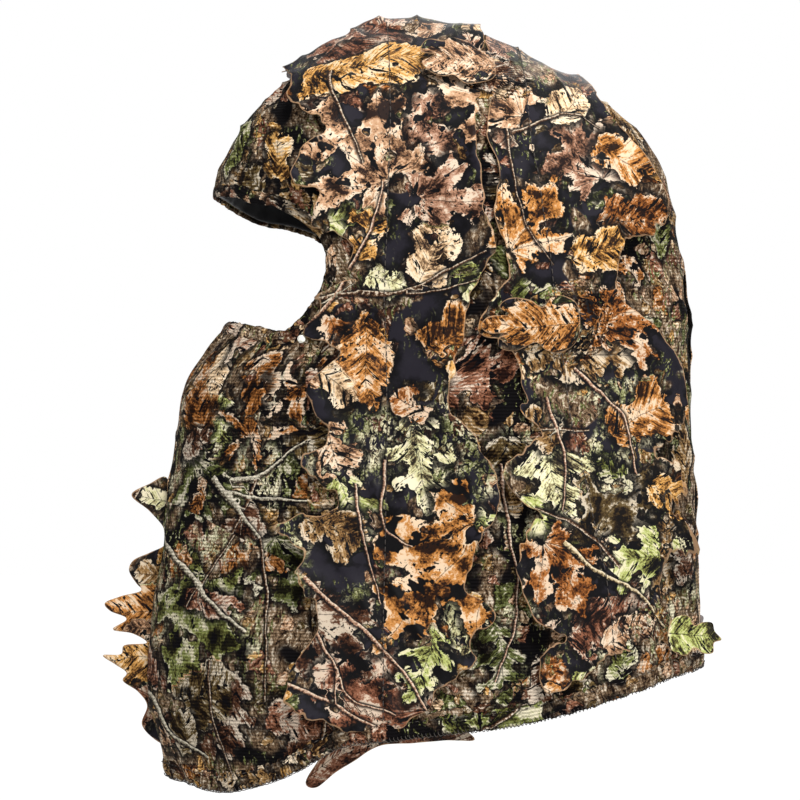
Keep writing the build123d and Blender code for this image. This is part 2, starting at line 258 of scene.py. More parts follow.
def down_at(z):
    return np.interp(-z, -FORM_Z, FORM_S)


# Side chart: (y, q), where q is the distance down over the hood's side from its ridge, at that y
CHART_STEP = 1 * MM
CHART_Y = np.arange(-120, 149, 1) * MM
CHART_Q = np.arange(0, 480, 1) * MM


def _make_chart():
    xs, zs = [], []
    for y in CHART_Y:
        share = 1 - ((y - FORM_MIDDLE) / FORM_DEPTH) ** 2
        inside = share > 0
        x = FORM_WIDTH[inside] * np.sqrt(share[inside])
        z = FORM_Z[inside]
        x, z = np.concatenate([[0], x]), np.concatenate([[z[0] + 1e-6], z])
        q = np.concatenate([[0], np.cumsum(np.hypot(np.diff(x), np.diff(z)))])
        xs.append(np.interp(CHART_Q, q, x))
        zs.append(np.where(CHART_Q <= q[-1], np.interp(CHART_Q, q, z), z[-1] - (CHART_Q - q[-1])))
    return np.array(xs), np.array(zs)


CHART_X, CHART_Z = _make_chart()


def read_chart(table, y, q):
    i = np.clip((y - CHART_Y[0]) / CHART_STEP, 0, len(CHART_Y) - 1.001)
    j = np.clip(q / CHART_STEP, 0, len(CHART_Q) - 1.001)
    i0, j0 = i.astype(int), j.astype(int)
    a, b = i - i0, j - j0
    low = table[i0, j0] * (1 - a) + table[i0 + 1, j0] * a
    high = table[i0, j0 + 1] * (1 - a) + table[i0 + 1, j0 + 1] * a
    return low * (1 - b) + high * b


def chart_points(flat, sign):
    """Points of the hood's side for chart places (y, q); sign is 1 on the wearer's left."""
    y, q = flat[:, 0], flat[:, 1]
    return np.stack([sign * read_chart(CHART_X, y, q), y, read_chart(CHART_Z, y, q)], axis=1)


def to_chart(outline):
    """Side-view (y, z) points in mm as chart places (y, q) in metres."""
    outline = np.asarray(outline, float) * MM
    places = []
    for y, z in outline:
        column = CHART_Z[int(np.clip(round((y - CHART_Y[0]) / CHART_STEP), 0, len(CHART_Y) - 1))]
        places.append((y, np.interp(-z, -column, CHART_Q)))
    return np.array(places)


def flatten_side():
    """Lays the hood's side out flat with little stretch: flat places (across, down) for every chart place."""
    coarse = 6
    rest = np.stack([CHART_X, np.repeat(CHART_Y[:, None], len(CHART_Q), axis=1), CHART_Z], axis=2)[::coarse, ::coarse]
    flat = np.stack([rest[..., 1], -rest[..., 2]], axis=2)
    speed = np.zeros_like(flat)
    whole = slice(None)
    pairs = []
    for a, b in (((slice(None, -1), whole), (slice(1, None), whole)), ((whole, slice(None, -1)), (whole, slice(1, None))),
                 ((slice(None, -1), slice(None, -1)), (slice(1, None), slice(1, None))),
                 ((slice(1, None), slice(None, -1)), (slice(None, -1), slice(1, None)))):  # fmt: skip
        pairs.append((a, b, np.linalg.norm(rest[b] - rest[a], axis=2)))
    for _ in range(900):
        move = np.zeros_like(flat)
        for a, b, length in pairs:
            gap = flat[b] - flat[a]
            now = np.linalg.norm(gap, axis=2)
            pulled = gap * (0.5 * (1 - length / now))[..., None]
            move[a] += pulled
            move[b] -= pulled
        speed = 0.92 * speed + move * 0.12
        flat += speed
    rows = [np.interp(CHART_Y, CHART_Y[::coarse], flat[:, j, k]) for k in (0, 1) for j in range(flat.shape[1])]
    rows = np.array(rows).reshape(2, flat.shape[1], len(CHART_Y))
    q = np.arange(flat.shape[1]) * coarse * CHART_STEP
    return [np.array([np.interp(CHART_Q, q, rows[k, :, i]) for i in range(len(CHART_Y))]) for k in (0, 1)]


FLAT_ACROSS, FLAT_DOWN = flatten_side()


def flat_places(chart):
    y, q = chart[:, 0], chart[:, 1]
    return np.stack([read_chart(FLAT_ACROSS, y, q), read_chart(FLAT_DOWN, y, q)], axis=1)


# ---------------------------------------------------------------- where the edges run
def opening_side():
    """The face opening's edge on one side, seen from the side, from the brow's middle to the nose's middle."""
    points = np.array(OPENING_EDGE) * MM
    knots = np.concatenate([[0], np.cumsum(np.sqrt(np.linalg.norm(np.diff(points, axis=0), axis=1)))])
    at = knots[-1] * (1 - np.cos(np.linspace(0, math.pi, 400))) / 2
    return np.stack([through(knots, points[:, k], at) for k in (0, 1)], axis=1)


def opening_loop(spacing):
    """The face opening's edge all the way round, evenly spaced, starting at the brow's middle, left side first."""
    side = opening_side()
    middle, depth, width = at_height(side[:, 1])
    x = width * np.sqrt(np.maximum(0, 1 - ((side[:, 0] - middle) / depth) ** 2))
    x[0] = x[-1] = 0
    left = np.stack([x, side[:, 0], side[:, 1]], axis=1)
    right = left[::-1] * (-1, 1, 1)
    loop = resample(np.vstack([left, right[1:-1]]), spacing, closed=True)
    for _ in range(6):
        loop = (loop + np.roll(loop, 1, axis=0) + np.roll(loop, -1, axis=0)) / 3
    return loop


def hem_height(y):
    points = np.array(HEM[::-1]) * MM
    return through(points[:, 0], points[:, 1], y)


def hem_loop(spacing, rise=0.0):
    """The lower edge all the way round, starting at the front, left side first."""
    theta = np.linspace(0, 2 * math.pi, 1200, endpoint=False)
    z = np.full_like(theta, -0.36)
    for _ in range(12):
        middle, depth, width = at_height(z)
        z = hem_height(middle - depth * np.cos(theta)) + rise
    middle, depth, width = at_height(z)
    return resample(np.stack([width * np.sin(theta), middle - depth * np.cos(theta), z], axis=1), spacing, closed=True)


OPENING_POLYGON = opening_side()[::2]


def brow_rise(points):
    """How much higher the brow's edge sits on the wearer's left, at each point near it."""
    y, z = points[:, 1] / MM, points[:, 2] / MM
    along = np.clip((y + 98) / 16, 0, 1) * np.clip((-43 - y) / 20, 0, 1)
    return BROW_RISE * MM * along * np.clip(points[:, 0] / (18 * MM), 0, 1) * np.clip((z + 135) / 15, 0, 1)


def from_opening(y, z):
    """Distance from the opening's edge seen from the side, and the place along it, for many points."""
    edge = OPENING_POLYGON
    apart = np.hypot(y[:, None] - edge[None, :, 0], z[:, None] - edge[None, :, 1])
    nearest = apart.argmin(axis=1)
    return apart.min(axis=1), nearest


def inside_polygon(y, z, polygon):
    inside = np.zeros(len(y), bool)
    for (y0, z0), (y1, z1) in zip(polygon, np.roll(polygon, -1, axis=0)):
        crosses = (z0 > z) != (z1 > z)
        inside ^= crosses & (y < (y1 - y0) * (z - z0) / (z1 - z0 + 1e-12) + y0)
    return inside


# ---------------------------------------------------------------- how the cloth hangs: one field that every layer follows
def folds(points):
    """How far the cloth stands in or out of the smooth hood, in metres."""
    side = np.where(points[:, 0] < 0, 50.0, 0.0)
    p = points / MM
    place = p + side[:, None]
    broad = lattice_noise(place / (60, 60, 85), 11) * 2.2
    slant = np.stack([place[:, 0] / 45, (p[:, 1] + 0.55 * p[:, 2]) / 17, (p[:, 2] - 0.5 * p[:, 1]) / 95], axis=1)
    crease = lattice_noise(slant + side[:, None], 12)
    slant_2 = np.stack([place[:, 0] / 40, (p[:, 1] - 0.8 * p[:, 2]) / 21, (p[:, 2] + 0.7 * p[:, 1]) / 80], axis=1)
    crease_2 = lattice_noise(slant_2 + side[:, None], 13)
    ridges = (1 - np.abs(crease)) ** 3 * 1.9 + (1 - np.abs(crease_2)) ** 3 * 1.5
    fine = lattice_noise(place / 9, 14) * 0.35
    above_hem = p[:, 2] - hem_height(points[:, 1]) / MM
    gather = lattice_noise(np.stack([p[:, 0] / 5, p[:, 1] / 5, p[:, 2] / 60], axis=1), 15)
    hem_gather = gather * 1.8 * np.exp(-np.maximum(above_hem, 0) / 20)
    apart, nearest = from_opening(points[:, 1], points[:, 2])
    nose = np.clip((-145 - p[:, 2]) / 12, 0, 1)
    face_gather = noise_along(nearest * 0.30 + side, 16) * (1.0 + 1.3 * nose) * np.exp(-apart / (12 * MM))
    calm = 1 - np.exp(-apart / (10 * MM))
    return (broad * calm + ridges * calm + fine + hem_gather + face_gather) * MM


def lifted(points, lift):
    """Points of the smooth hood moved out to where cloth that stands `lift` metres off the inside of the hood lies."""
    return points + outward(points) * (lift + folds(points))[:, None]


# ---------------------------------------------------------------- mesh helpers
def piece(name, vertices, faces, body, material, uv=None, smooth=True):
    """A mesh object that rides on a body, or on none yet. uv gives each vertex its place on the flat cloth, in metres."""
    mesh = bpy.data.meshes.new(name)
    mesh.from_pydata([tuple(v) for v in vertices], [], [tuple(int(i) for i in f) for f in faces])
    if uv is not None:
        layer = mesh.uv_layers.new(name="cloth")
        corners = np.zeros(len(mesh.loops), np.int32)
        mesh.loops.foreach_get("vertex_index", corners)
        layer.data.foreach_set("uv", np.asarray(uv, np.float32)[corners].ravel())
    mesh.polygons.foreach_set("use_smooth", [smooth] * len(mesh.polygons))
    mesh.materials.append(material)
    obj = bpy.data.objects.new(name, mesh)
    bpy.context.scene.collection.objects.link(obj)
    if body is not None:
        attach(obj, body)
    return obj


def thicken(obj, thickness, reverse=None, from_reverse=True):
    """Gives cloth its thickness and the look of its reverse, which is either the face it is made from or the new one."""
    change = 0
    if reverse is not None:
        obj.data.materials.append(reverse)
        change = -1 if from_reverse else 1
        side = np.full(len(obj.data.polygons), 1 if from_reverse else 0, dtype=np.int32)
        obj.data.polygons.foreach_set("material_index", side)
    solid = obj.modifiers.new("thickness", "SOLIDIFY")
    solid.thickness = thickness
    solid.offset = 1
    solid.use_even_offset = False
    solid.material_offset = change
    solid.material_offset_rim = min(change, 0)
    return obj


def fill_outline(outline, spacing, seed):
    """Triangles that fill a closed 2-D outline, with points about spacing apart. Returns points and faces."""
    low, high = outline.min(axis=0), outline.max(axis=0)
    ys = np.arange(low[0], high[0], spacing)
    zs = np.arange(low[1], high[1], spacing * 0.87)
    grid_y, grid_z = np.meshgrid(ys, zs)
    grid_y = grid_y + (np.arange(len(zs)) % 2)[:, None] * spacing / 2
    grid = np.stack([grid_y.ravel(), grid_z.ravel()], axis=1)
    grid += np.random.default_rng(seed).uniform(-0.12, 0.12, grid.shape) * spacing
    grid = grid[inside_polygon(grid[:, 0], grid[:, 1], outline)]
    near = np.zeros(len(grid), bool)
    for start in range(0, len(grid), 4000):
        part = grid[start : start + 4000]
        apart = np.hypot(part[:, None, 0] - outline[None, :, 0], part[:, None, 1] - outline[None, :, 1]).min(axis=1)
        near[start : start + 4000] = apart < spacing * 0.55
    grid = grid[~near]
    points = np.vstack([outline, grid]) / MM
    made = delaunay_2d_cdt([Vector(p) for p in points], [], [list(range(len(outline)))], 1, 1e-5)
    return np.array([tuple(v) for v in made[0]]) * MM, made[2]


def edge_distance(flat, outline):
    apart = np.zeros(len(flat))
    for start in range(0, len(flat), 4000):
        part = flat[start : start + 4000]
        gaps = np.hypot(part[:, None, 0] - outline[None, :, 0], part[:, None, 1] - outline[None, :, 1])
        apart[start : start + 4000] = gaps.min(axis=1)
    return apart


def tube_mesh(paths, radius, sides=6):
    """One mesh of round threads, each along its own path of points."""
    vertices, faces = [], []
    for path in paths:
        path = np.asarray(path, float)
        tangent = np.gradient(path, axis=0)
        tangent /= np.linalg.norm(tangent, axis=1, keepdims=True)
        helper = np.array([0.3, 0.5, 0.81])
        first = np.cross(tangent, helper)
        first /= np.linalg.norm(first, axis=1, keepdims=True)
        second = np.cross(tangent, first)
        start = len(vertices)
        ends = np.minimum(np.arange(len(path)), np.arange(len(path))[::-1])
        for k, point in enumerate(path):
            size = radius * (0.45 if ends[k] == 0 else 1)
            for turn in range(sides):
                angle = 2 * math.pi * turn / sides
                vertices.append(point + (first[k] * math.cos(angle) + second[k] * math.sin(angle)) * size)
        for k in range(len(path) - 1):
            for turn in range(sides):
                a, b = start + k * sides + turn, start + k * sides + (turn + 1) % sides
                faces.append((a, b, b + sides, a + sides))
        faces.append(tuple(start + turn for turn in reversed(range(sides))))
        faces.append(tuple(start + (len(path) - 1) * sides + turn for turn in range(sides)))
    return np.array(vertices), faces


# ---------------------------------------------------------------- material building blocks
class Graph:
    """A material's node tree, with short calls that return output sockets."""

    def __init__(self, name):
        self.material = bpy.data.materials.new(name)
        self.material.use_nodes = True
        self.tree = self.material.node_tree
        self.tree.nodes.clear()

    def node(self, kind, inputs=(), output=0, **settings):
        made = self.tree.nodes.new(kind)
        for key, value in settings.items():
            setattr(made, key, value)
        for key, value in dict(inputs).items():
            if isinstance(value, bpy.types.NodeSocket):
                self.tree.links.new(value, made.inputs[key])
            else:
                made.inputs[key].default_value = value
        return made.outputs[output]

    def math(self, operation, a, b=0.0, c=0.0, clamp=False):
        return self.node("ShaderNodeMath", {0: a, 1: b, 2: c}, operation=operation, use_clamp=clamp)

    def vector(self, operation, a, b=(0, 0, 0), output=0):
        return self.node("ShaderNodeVectorMath", {0: a, 1: b}, output=output, operation=operation)

    def scaled(self, a, factor):
        return self.node("ShaderNodeVectorMath", {0: a, "Scale": factor}, operation="SCALE")

    def mix(self, factor, a, b, blend="MIX"):
        return self.node("ShaderNodeMix", {0: factor, 6: a, 7: b}, output=2, data_type="RGBA", blend_type=blend)

    def noise(self, vector, scale, detail=2.0, output=0, roughness=0.5):
        inputs = {"Vector": vector, "Scale": scale, "Detail": detail, "Roughness": roughness}
        return self.node("ShaderNodeTexNoise", inputs, output=output, noise_dimensions="3D")

    def between(self, value, low, high):
        """0 below low, 1 above high, smooth between; low may be above high."""
        inputs = {"Value": value, "From Min": low, "From Max": high}
        return self.node("ShaderNodeMapRange", inputs, interpolation_type="SMOOTHSTEP")

    def ramp(self, factor, stops, interpolation="CONSTANT"):
        made = self.tree.nodes.new("ShaderNodeValToRGB")
        made.color_ramp.interpolation = interpolation
        while len(made.color_ramp.elements) < len(stops):
            made.color_ramp.elements.new(0.5)
        for element, (place, colour) in zip(made.color_ramp.elements, stops):
            element.position = place
            element.color = colour
        self.tree.links.new(factor, made.inputs[0])
        return made.outputs[0]

    def finish(self, colour, roughness, bump=None, depth=0.0004, **settings):
        shader = self.tree.nodes.new("ShaderNodeBsdfPrincipled")
        self.tree.links.new(colour, shader.inputs["Base Color"])
        if isinstance(roughness, bpy.types.NodeSocket):
            self.tree.links.new(roughness, shader.inputs["Roughness"])
        else:
            shader.inputs["Roughness"].default_value = roughness
        for key, value in settings.items():
            shader.inputs[key.replace("_", " ")].default_value = value
        if bump is not None:
            normal = self.node("ShaderNodeBump", {"Height": bump, "Distance": depth, "Strength": 1.0})
            self.tree.links.new(normal, shader.inputs["Normal"])
        out = self.tree.nodes.new("ShaderNodeOutputMaterial")
        self.tree.links.new(shader.outputs[0], out.inputs[0])
        return self.material


def rgb(red, green, blue):
    """A screen colour from 0 to 255 as linear light."""
    linear = [((v / 255 + 0.055) / 1.055) ** 2.4 if v > 10 else v / 255 / 12.92 for v in (red, green, blue)]
    return (*linear, 1.0)


def palette(colours):
    return [(i / len(colours), rgb(*colour)) for i, colour in enumerate(colours)]


# ---------------------------------------------------------------- the print's leaves and twigs
# Half outlines of leaves: x from the stem at 0 to the tip at 1, y across
LEAF_SHAPES = {
    "maple": [(0, 0.02), (-0.06, 0.14), (-0.16, 0.30), (0.0, 0.28), (0.08, 0.35), (0.14, 0.24), (0.28, 0.42), (0.38, 0.60),
              (0.44, 0.44), (0.58, 0.46), (0.50, 0.28), (0.47, 0.15), (0.62, 0.21), (0.75, 0.25), (0.79, 0.12), (1.0, 0)],
    "oak": [(0, 0.02), (0.08, 0.05), (0.13, 0.17), (0.23, 0.20), (0.27, 0.08), (0.34, 0.10), (0.41, 0.29), (0.53, 0.31),
            (0.55, 0.12), (0.62, 0.13), (0.70, 0.26), (0.80, 0.24), (0.80, 0.10), (0.88, 0.11), (0.96, 0.08), (1.0, 0)],
    "beech": [(0, 0.01), (0.10, 0.12), (0.25, 0.22), (0.45, 0.27), (0.65, 0.22), (0.85, 0.11), (1.0, 0)],
    "bark": [(0, 0.03), (0.06, 0.12), (0.3, 0.15), (0.6, 0.17), (0.85, 0.13), (1.0, 0.04)],
    "scrap": [(0, 0.12), (0.06, 0.30), (0.30, 0.33), (0.42, 0.26), (0.60, 0.38), (0.86, 0.34), (0.90, 0.20), (1.0, 0.08)],
    "star": [(0, 0.02), (-0.16, 0.12), (-0.46, 0.34), (-0.16, 0.30), (0.02, 0.16), (0.16, 0.34), (0.34, 0.74), (0.36, 0.40),
             (0.20, 0.12), (0.5, 0.13), (0.8, 0.10), (1.0, 0)],
}  # fmt: skip
FAN_VEINED = ("maple", "star")
LEAF_COLOURS = [
    (208, 172, 140), (186, 148, 124), (234, 206, 170), (208, 154, 92), (182, 126, 72), (226, 180, 112), (194, 200, 132),
    (140, 146, 88), (228, 224, 182), (160, 114, 90), (116, 82, 62), (118, 100, 66), (172, 140, 96), (112, 118, 72),
]  # fmt: skip
TAN, PINK, CREAM, ORANGE, RUST, GOLD, PALE, GREEN, LICHEN, RUSSET, UMBER, OLIVE, STRAW, MOSS = range(14)
TWIG_COLOURS = [(188, 154, 132), (184, 178, 160), (124, 96, 74), (206, 190, 156)]
PINKISH, GREY, BROWN, BONE = range(4)

# Leaves of the print on the wearer's left, back layer first: shape, stem (y, z) in mm, length in mm, the way that it
# points in degrees up from straight back, colour
STRIP_PRINT = [
    [
        ("beech", (-44, -24), 66, 22, RUSSET), ("maple", (2, -72), 44, 62, PINK), ("scrap", (-34, -104), 32, 6, PALE),
        ("scrap", (26, -128), 26, -35, PALE), ("beech", (-34, -150), 50, -62, RUST), ("scrap", (12, -168), 34, 30, ORANGE),
        ("scrap", (-36, -205), 30, -70, TAN), ("oak", (8, -196), 54, -84, LICHEN), ("oak", (-30, -228), 52, -70, PALE),
        ("maple", (-44, -300), 50, -44, UMBER), ("scrap", (24, -292), 30, -60, LICHEN), ("maple", (14, -352), 62, 168, RUSSET),
        ("maple", (96, -84), 44, 120, PINK), ("scrap", (96, -104), 44, 6, RUST), ("scrap", (54, -140), 34, -20, GREEN),
        ("beech", (72, -172), 56, 6, STRAW), ("oak", (72, -196), 64, -82, LICHEN), ("oak", (60, -238), 48, -60, PALE),
        ("maple", (92, -268), 54, 50, OLIVE), ("scrap", (82, -308), 54, 2, RUSSET), ("beech", (132, -300), 50, 96, STRAW),
    ],
    [
        ("bark", (-48, -38), 78, 15, GOLD), ("maple", (-2, -86), 64, 140, TAN), ("maple", (6, -92), 42, -10, PINK),
        ("scrap", (-20, -122), 26, 70, GOLD), ("scrap", (10, -134), 32, 64, CREAM), ("maple", (62, -50), 52, 158, TAN),
        ("beech", (74, -56), 38, 52, CREAM), ("maple", (54, -118), 44, 58, ORANGE), ("scrap", (86, -122), 30, 20, GOLD),
        ("beech", (-16, -148), 50, -88, ORANGE), ("scrap", (-40, -176), 26, -40, CREAM), ("scrap", (24, -182), 32, 12, GOLD),
        ("maple", (40, -258), 82, 228, ORANGE), ("oak", (20, -304), 44, -112, PALE), ("scrap", (-44, -250), 34, -30, STRAW),
        ("maple", (100, -150), 50, 10, RUST), ("scrap", (104, -208), 40, 28, ORANGE), ("oak", (138, -270), 52, 190, PALE),
        ("maple", (70, -262), 46, 300, RUST), ("scrap", (120, -236), 30, -20, GOLD), ("beech", (96, -320), 42, 20, TAN),
    ],
]  # fmt: skip
MESH_PRINT = [
    [
        ("beech", (-86, -164), 44, -68, CREAM), ("scrap", (-112, -186), 30, -70, TAN), ("oak", (-86, -186), 36, -96, PALE),
        ("scrap", (-68, -170), 30, -60, RUST), ("scrap", (-118, -216), 30, -90, ORANGE), ("star", (-50, -186), 34, -80, RUST),
        ("scrap", (-58, -206), 26, -30, OLIVE), ("maple", (-96, -284), 64, 250, GREEN), ("maple", (-104, -222), 40, 300, MOSS), ("beech", (-98, -216), 52, 112, RUST),
        ("maple", (-60, -262), 40, 290, MOSS), ("scrap", (-112, -350), 44, 20, OLIVE), ("oak", (-78, -330), 48, 250, UMBER),
        ("maple", (-84, -62), 34, 70, MOSS), ("scrap", (-88, -84), 30, 30, STRAW), ("scrap", (-62, -82), 26, 80, GOLD),
        ("beech", (130, -120), 44, 80, GREEN), ("maple", (146, -190), 40, 250, MOSS), ("scrap", (52, -210), 40, -80, OLIVE),
        ("oak", (46, -300), 46, -80, MOSS), ("maple", (60, -344), 42, 10, OLIVE), ("scrap", (116, -334), 34, 14, RUST),
    ],
    [
        ("star", (-76, -214), 36, 80, RUST), ("beech", (-90, -176), 36, 66, PINK), ("beech", (-122, -246), 34, -60, GREEN),
        ("scrap", (-66, -350), 30, -20, RUSSET), ("beech", (-58, -376), 40, 20, UMBER), ("beech", (-108, -376), 36, 70, OLIVE),
        ("scrap", (50, -250), 26, 60, STRAW), ("beech", (144, -240), 40, 90, STRAW), ("beech", (-70, -44), 40, 52, RUSSET),
    ],
]  # fmt: skip
# Twigs on the wearer's left: half width in mm, colour, (y, z) places in mm
MESH_TWIGS = [
    (1.9, GREY, [(-124, -254), (-100, -268), (-78, -281), (-57, -297), (-40, -308)]),
    (1.9, GREY, [(-91, -236), (-77, -248), (-63, -263)]),
    (1.1, GREY, [(-86, -240), (-66, -243), (-43, -244)]),
    (1.5, GREY, [(-81, -233), (-72, -233), (-58, -224), (-50, -217)]),
    (0.9, BROWN, [(-72, -233), (-77, -251), (-90, -273), (-104, -295)]),
    (2.1, GREY, [(-126, -342), (-103, -349), (-95, -363), (-77, -373)]),
    (0.8, BROWN, [(-96, -330), (-93, -366), (-88, -388)]),
    (0.8, BROWN, [(-70, -262), (-60, -300), (-58, -340)]),
    (0.9, PINKISH, [(50, -230), (56, -262), (60, -300), (52, -330)]),
]
STRIP_TWIGS = [
    (1.2, PINKISH, [(-42, -286), (-24, -303), (-8, -317), (4, -331), (12, -344)]),
    (1.1, PINKISH, [(-54, -336), (-35, -344), (-20, -352), (-8, -358)]),
    (0.8, PINKISH, [(-40, -310), (-31, -328), (-24, -342), (-6, -349)]),
    (0.7, PINKISH, [(-31, -328), (-32, -345)]),
    (0.9, PINKISH, [(-8, -228), (-8, -256), (2, -264)]),
    (0.7, PINKISH, [(-22, -240), (-16, -270), (-10, -290)]),
    (1.2, BONE, [(84, -268), (100, -280), (120, -290), (138, -306)]),
    (0.9, PINKISH, [(74, -196), (82, -222), (80, -246)]),
    (0.8, BROWN, [(-20, -138), (10, -140), (40, -134)]),
    (0.8, BROWN, [(58, -60), (84, -46), (96, -50)]),
    (0.9, PINKISH, [(90, -180), (112, -200), (118, -226)]),
]


def leaf_outline(shape, seed):
    half = np.array(LEAF_SHAPES[shape], float)
    draws = np.random.default_rng(seed)
    lower = half[::-1] * (1, -1)
    lower = lower + draws.uniform(-0.03, 0.03, lower.shape) * (lower[:, :1] < 0.98)
    return smooth_outline(np.vstack([half, lower[1:]]), 0.035)


def outline_distance(points, outline):
    """Distance of points inside a closed outline, negative outside it."""
    start, end = outline, np.roll(outline, -1, axis=0)
    run = end - start
    to = points[:, None, :] - start[None]
    share = np.clip((to * run).sum(axis=2) / np.maximum((run**2).sum(axis=1), 1e-12), 0, 1)
    gap = np.linalg.norm(to - share[:, :, None] * run, axis=2).min(axis=1)
    return np.where(inside_polygon(points[:, 0], points[:, 1], outline), gap, -gap)


def print_leaf(layer, flat, leaf, seed, give_way):
    """Prints one leaf on a layer: each row of layer is the leaf's own x and y, the depth inside its edge, and a code."""
    shape, stem, length, heading, colour = leaf
    turn = math.radians(heading)
    away = flat - stem
    local = np.stack([away @ (math.cos(turn), math.sin(turn)), away @ (-math.sin(turn), math.cos(turn))], axis=1)
    near = np.flatnonzero((np.abs(local - (length * 0.4, 0)) < length * 0.85).all(axis=1))
    if not len(near):
        return
    at = np.stack([local[near, 0] / 17, local[near, 1] / 17, np.full(len(near), seed * 0.37)], axis=1)
    local[near] += np.stack([lattice_noise(at, 26), lattice_noise(at + 40, 27)], axis=1) * length * 0.07
    depth = outline_distance(local[near] / length, leaf_outline(shape, seed)) * length
    if give_way and (layer[near[depth > -1], 2] > -2.5).any():
        return
    deeper = depth > layer[near, 2]
    chosen = near[deeper]
    layer[chosen, :2] = local[chosen]
    layer[chosen, 2] = depth[deeper]
    layer[chosen, 3] = (colour + np.random.default_rng(seed).uniform(0.3, 0.7)) / 16 + (shape in FAN_VEINED)


def random_leaves(flat, rest, knitted, seed, count):
    """Leaves scattered at random over a piece, in the colours that belong where they fall."""
    draws = np.random.default_rng(seed)
    choices = {
        "tan": (TAN, PINK, CREAM, ORANGE, RUSSET), "orange": (ORANGE, RUST, GOLD, CREAM, PALE),
        "green": (PALE, LICHEN, GREEN, STRAW, ORANGE), "russet": (RUSSET, UMBER, PINK, OLIVE, PALE),
    }  # fmt: skip
    muted = (OLIVE, UMBER, UMBER, GREEN, STRAW, RUSSET, RUST, TAN)
    weights = zone_weights(rest, seed)
    leaves = []
    for _ in range(count):
        k = draws.integers(len(flat))
        shape = draws.choice(["maple", "oak", "beech", "scrap", "scrap", "scrap", "bark"])
        kind = draws.choice(list(choices), p=weights[k] / weights[k].sum())
        colour = draws.choice(muted if knitted else choices[kind])
        length = draws.uniform(22, 52) * (0.7 if shape == "scrap" else 1)
        leaves.append((shape, flat[k], length, draws.uniform(0, 360), colour))
    return leaves


def random_twigs(flat, seed, count):
    draws = np.random.default_rng(seed)
    twigs = []
    for _ in range(count):
        at = flat[draws.integers(len(flat))].copy()
        heading = draws.uniform(0, 2 * math.pi)
        line = [at.copy()]
        for _ in range(draws.integers(3, 6)):
            heading += draws.uniform(-0.35, 0.35)
            at += draws.uniform(12, 22) * np.array([math.cos(heading), math.sin(heading)])
            line.append(at.copy())
        twigs.append((draws.uniform(0.6, 1.2), int(draws.choice([PINKISH, BROWN, BROWN])), line))
    return twigs


def print_twigs(flat, twigs):
    """Signed distance across the nearest twig, plain distance to it, its half width, and its colour code."""
    made = np.tile(np.array([99.0, 99.0, 1.0, 0.0]), (len(flat), 1))
    for half_width, colour, line in twigs:
        line = smooth_outline(line, 3.0, closed=False)
        start, run = line[:-1], np.diff(line, axis=0)
        near = np.flatnonzero(((flat > line.min(axis=0) - 12) & (flat < line.max(axis=0) + 12)).all(axis=1))
        if not len(near):
            continue
        to = flat[near][:, None, :] - start[None]
        share = np.clip((to * run).sum(axis=2) / (run**2).sum(axis=1), 0, 1)
        gap = np.linalg.norm(to - share[:, :, None] * run, axis=2)
        nearest = gap.argmin(axis=1)
        rows = np.arange(len(near))
        cross = run[nearest, 0] * to[rows, nearest, 1] - run[nearest, 1] * to[rows, nearest, 0]
        across = cross / np.linalg.norm(run[nearest], axis=1)
        gap = gap[rows, nearest]
        closer = gap < made[near, 1]
        taper = 1 - 0.55 * (nearest + share[rows, nearest]) / len(start)
        made[near[closer]] = np.stack([across, gap, half_width * taper, np.full(len(near), (colour + 0.5) / 4)], axis=1)[closer]
    return made


def zone_weights(points, shift):
    """How much of each palette (tan, orange, green, russet) belongs at a place on the hood."""
    p = points / MM
    wobble = lattice_noise(p / 38 + shift, 21) * 30
    z = p[:, 2] + wobble
    tan = np.clip((z + 100) / 24, 0, 1)
    russet = np.clip((-305 - z) / 24, 0, 1)
    green = np.clip((-185 - z) / 20, 0, 1) * (1 - russet) * 0.62 + 0.14
    orange = np.maximum(0, 1 - tan - russet - green)
    return np.stack([tan, orange, green, russet], axis=1)


def store(obj, name, rows):
    layer = obj.data.attributes.new(name, "FLOAT_COLOR", "POINT")
    layer.data.foreach_set("color", np.asarray(rows, np.float32).ravel())


def print_cloth(obj, rest, flat, seed, knitted=False, placed=None, twigs=(), fill=60, inward=None, own=()):
    """Prints leaves and twigs on a piece. rest is its smooth shape, flat its flat cloth in metres. placed gives listed
    leaves, at (y, z) places seen from the side, and own gives them at places of the flat cloth. inward is the
    distance from a raw cut edge, which shows pale."""
    if inward is not None:
        cut = np.clip(1 - inward / (2 * MM), 0, 1)
        store(obj, "cut_edge", np.stack([cut, cut, cut, np.ones(len(cut))], axis=1))
    flat = np.asarray(flat) / MM * (1, -1)

    def place(side_place):
        gap = np.hypot(rest[:, 1] / MM - side_place[0], rest[:, 2] / MM - side_place[1]) + 1e3 * (rest[:, 0] < -1 * MM)
        near = int(gap.argmin())
        return flat[near] + (np.array(side_place) - rest[near, 1:] / MM), gap[near]

    for number in (0, 1):
        layer = np.tile(np.array([0.0, 0.0, -60.0, 0.0]), (len(flat), 1))
        for k, (shape, stem, length, heading, colour) in enumerate(placed[number] if placed else ()):
            at, gap = place(stem)
            if gap < 40:
                print_leaf(layer, flat, (shape, at, length, heading, colour), 200 + k, False)
        for k, leaf in enumerate(own if number else ()):
            print_leaf(layer, flat, leaf, 150 + k, False)
        for k, leaf in enumerate(random_leaves(flat, rest, knitted, seed * 7 + number, fill)):
            print_leaf(layer, flat, leaf, 300 + k, True)
        store(obj, f"leaves_{number}", layer)
    drawn = []
    for half_width, colour, line in twigs:
        at, gap = place(line[0])
        if gap < 40:
            drawn.append((half_width, colour, np.array(line) - line[0] + at))
    drawn += random_twigs(flat, seed * 3, fill // 14)
    store(obj, "twigs", print_twigs(flat, drawn))
    weights = zone_weights(rest, seed)
    store(obj, "zone", np.concatenate([weights[:, :3], np.ones((len(rest), 1))], axis=1))


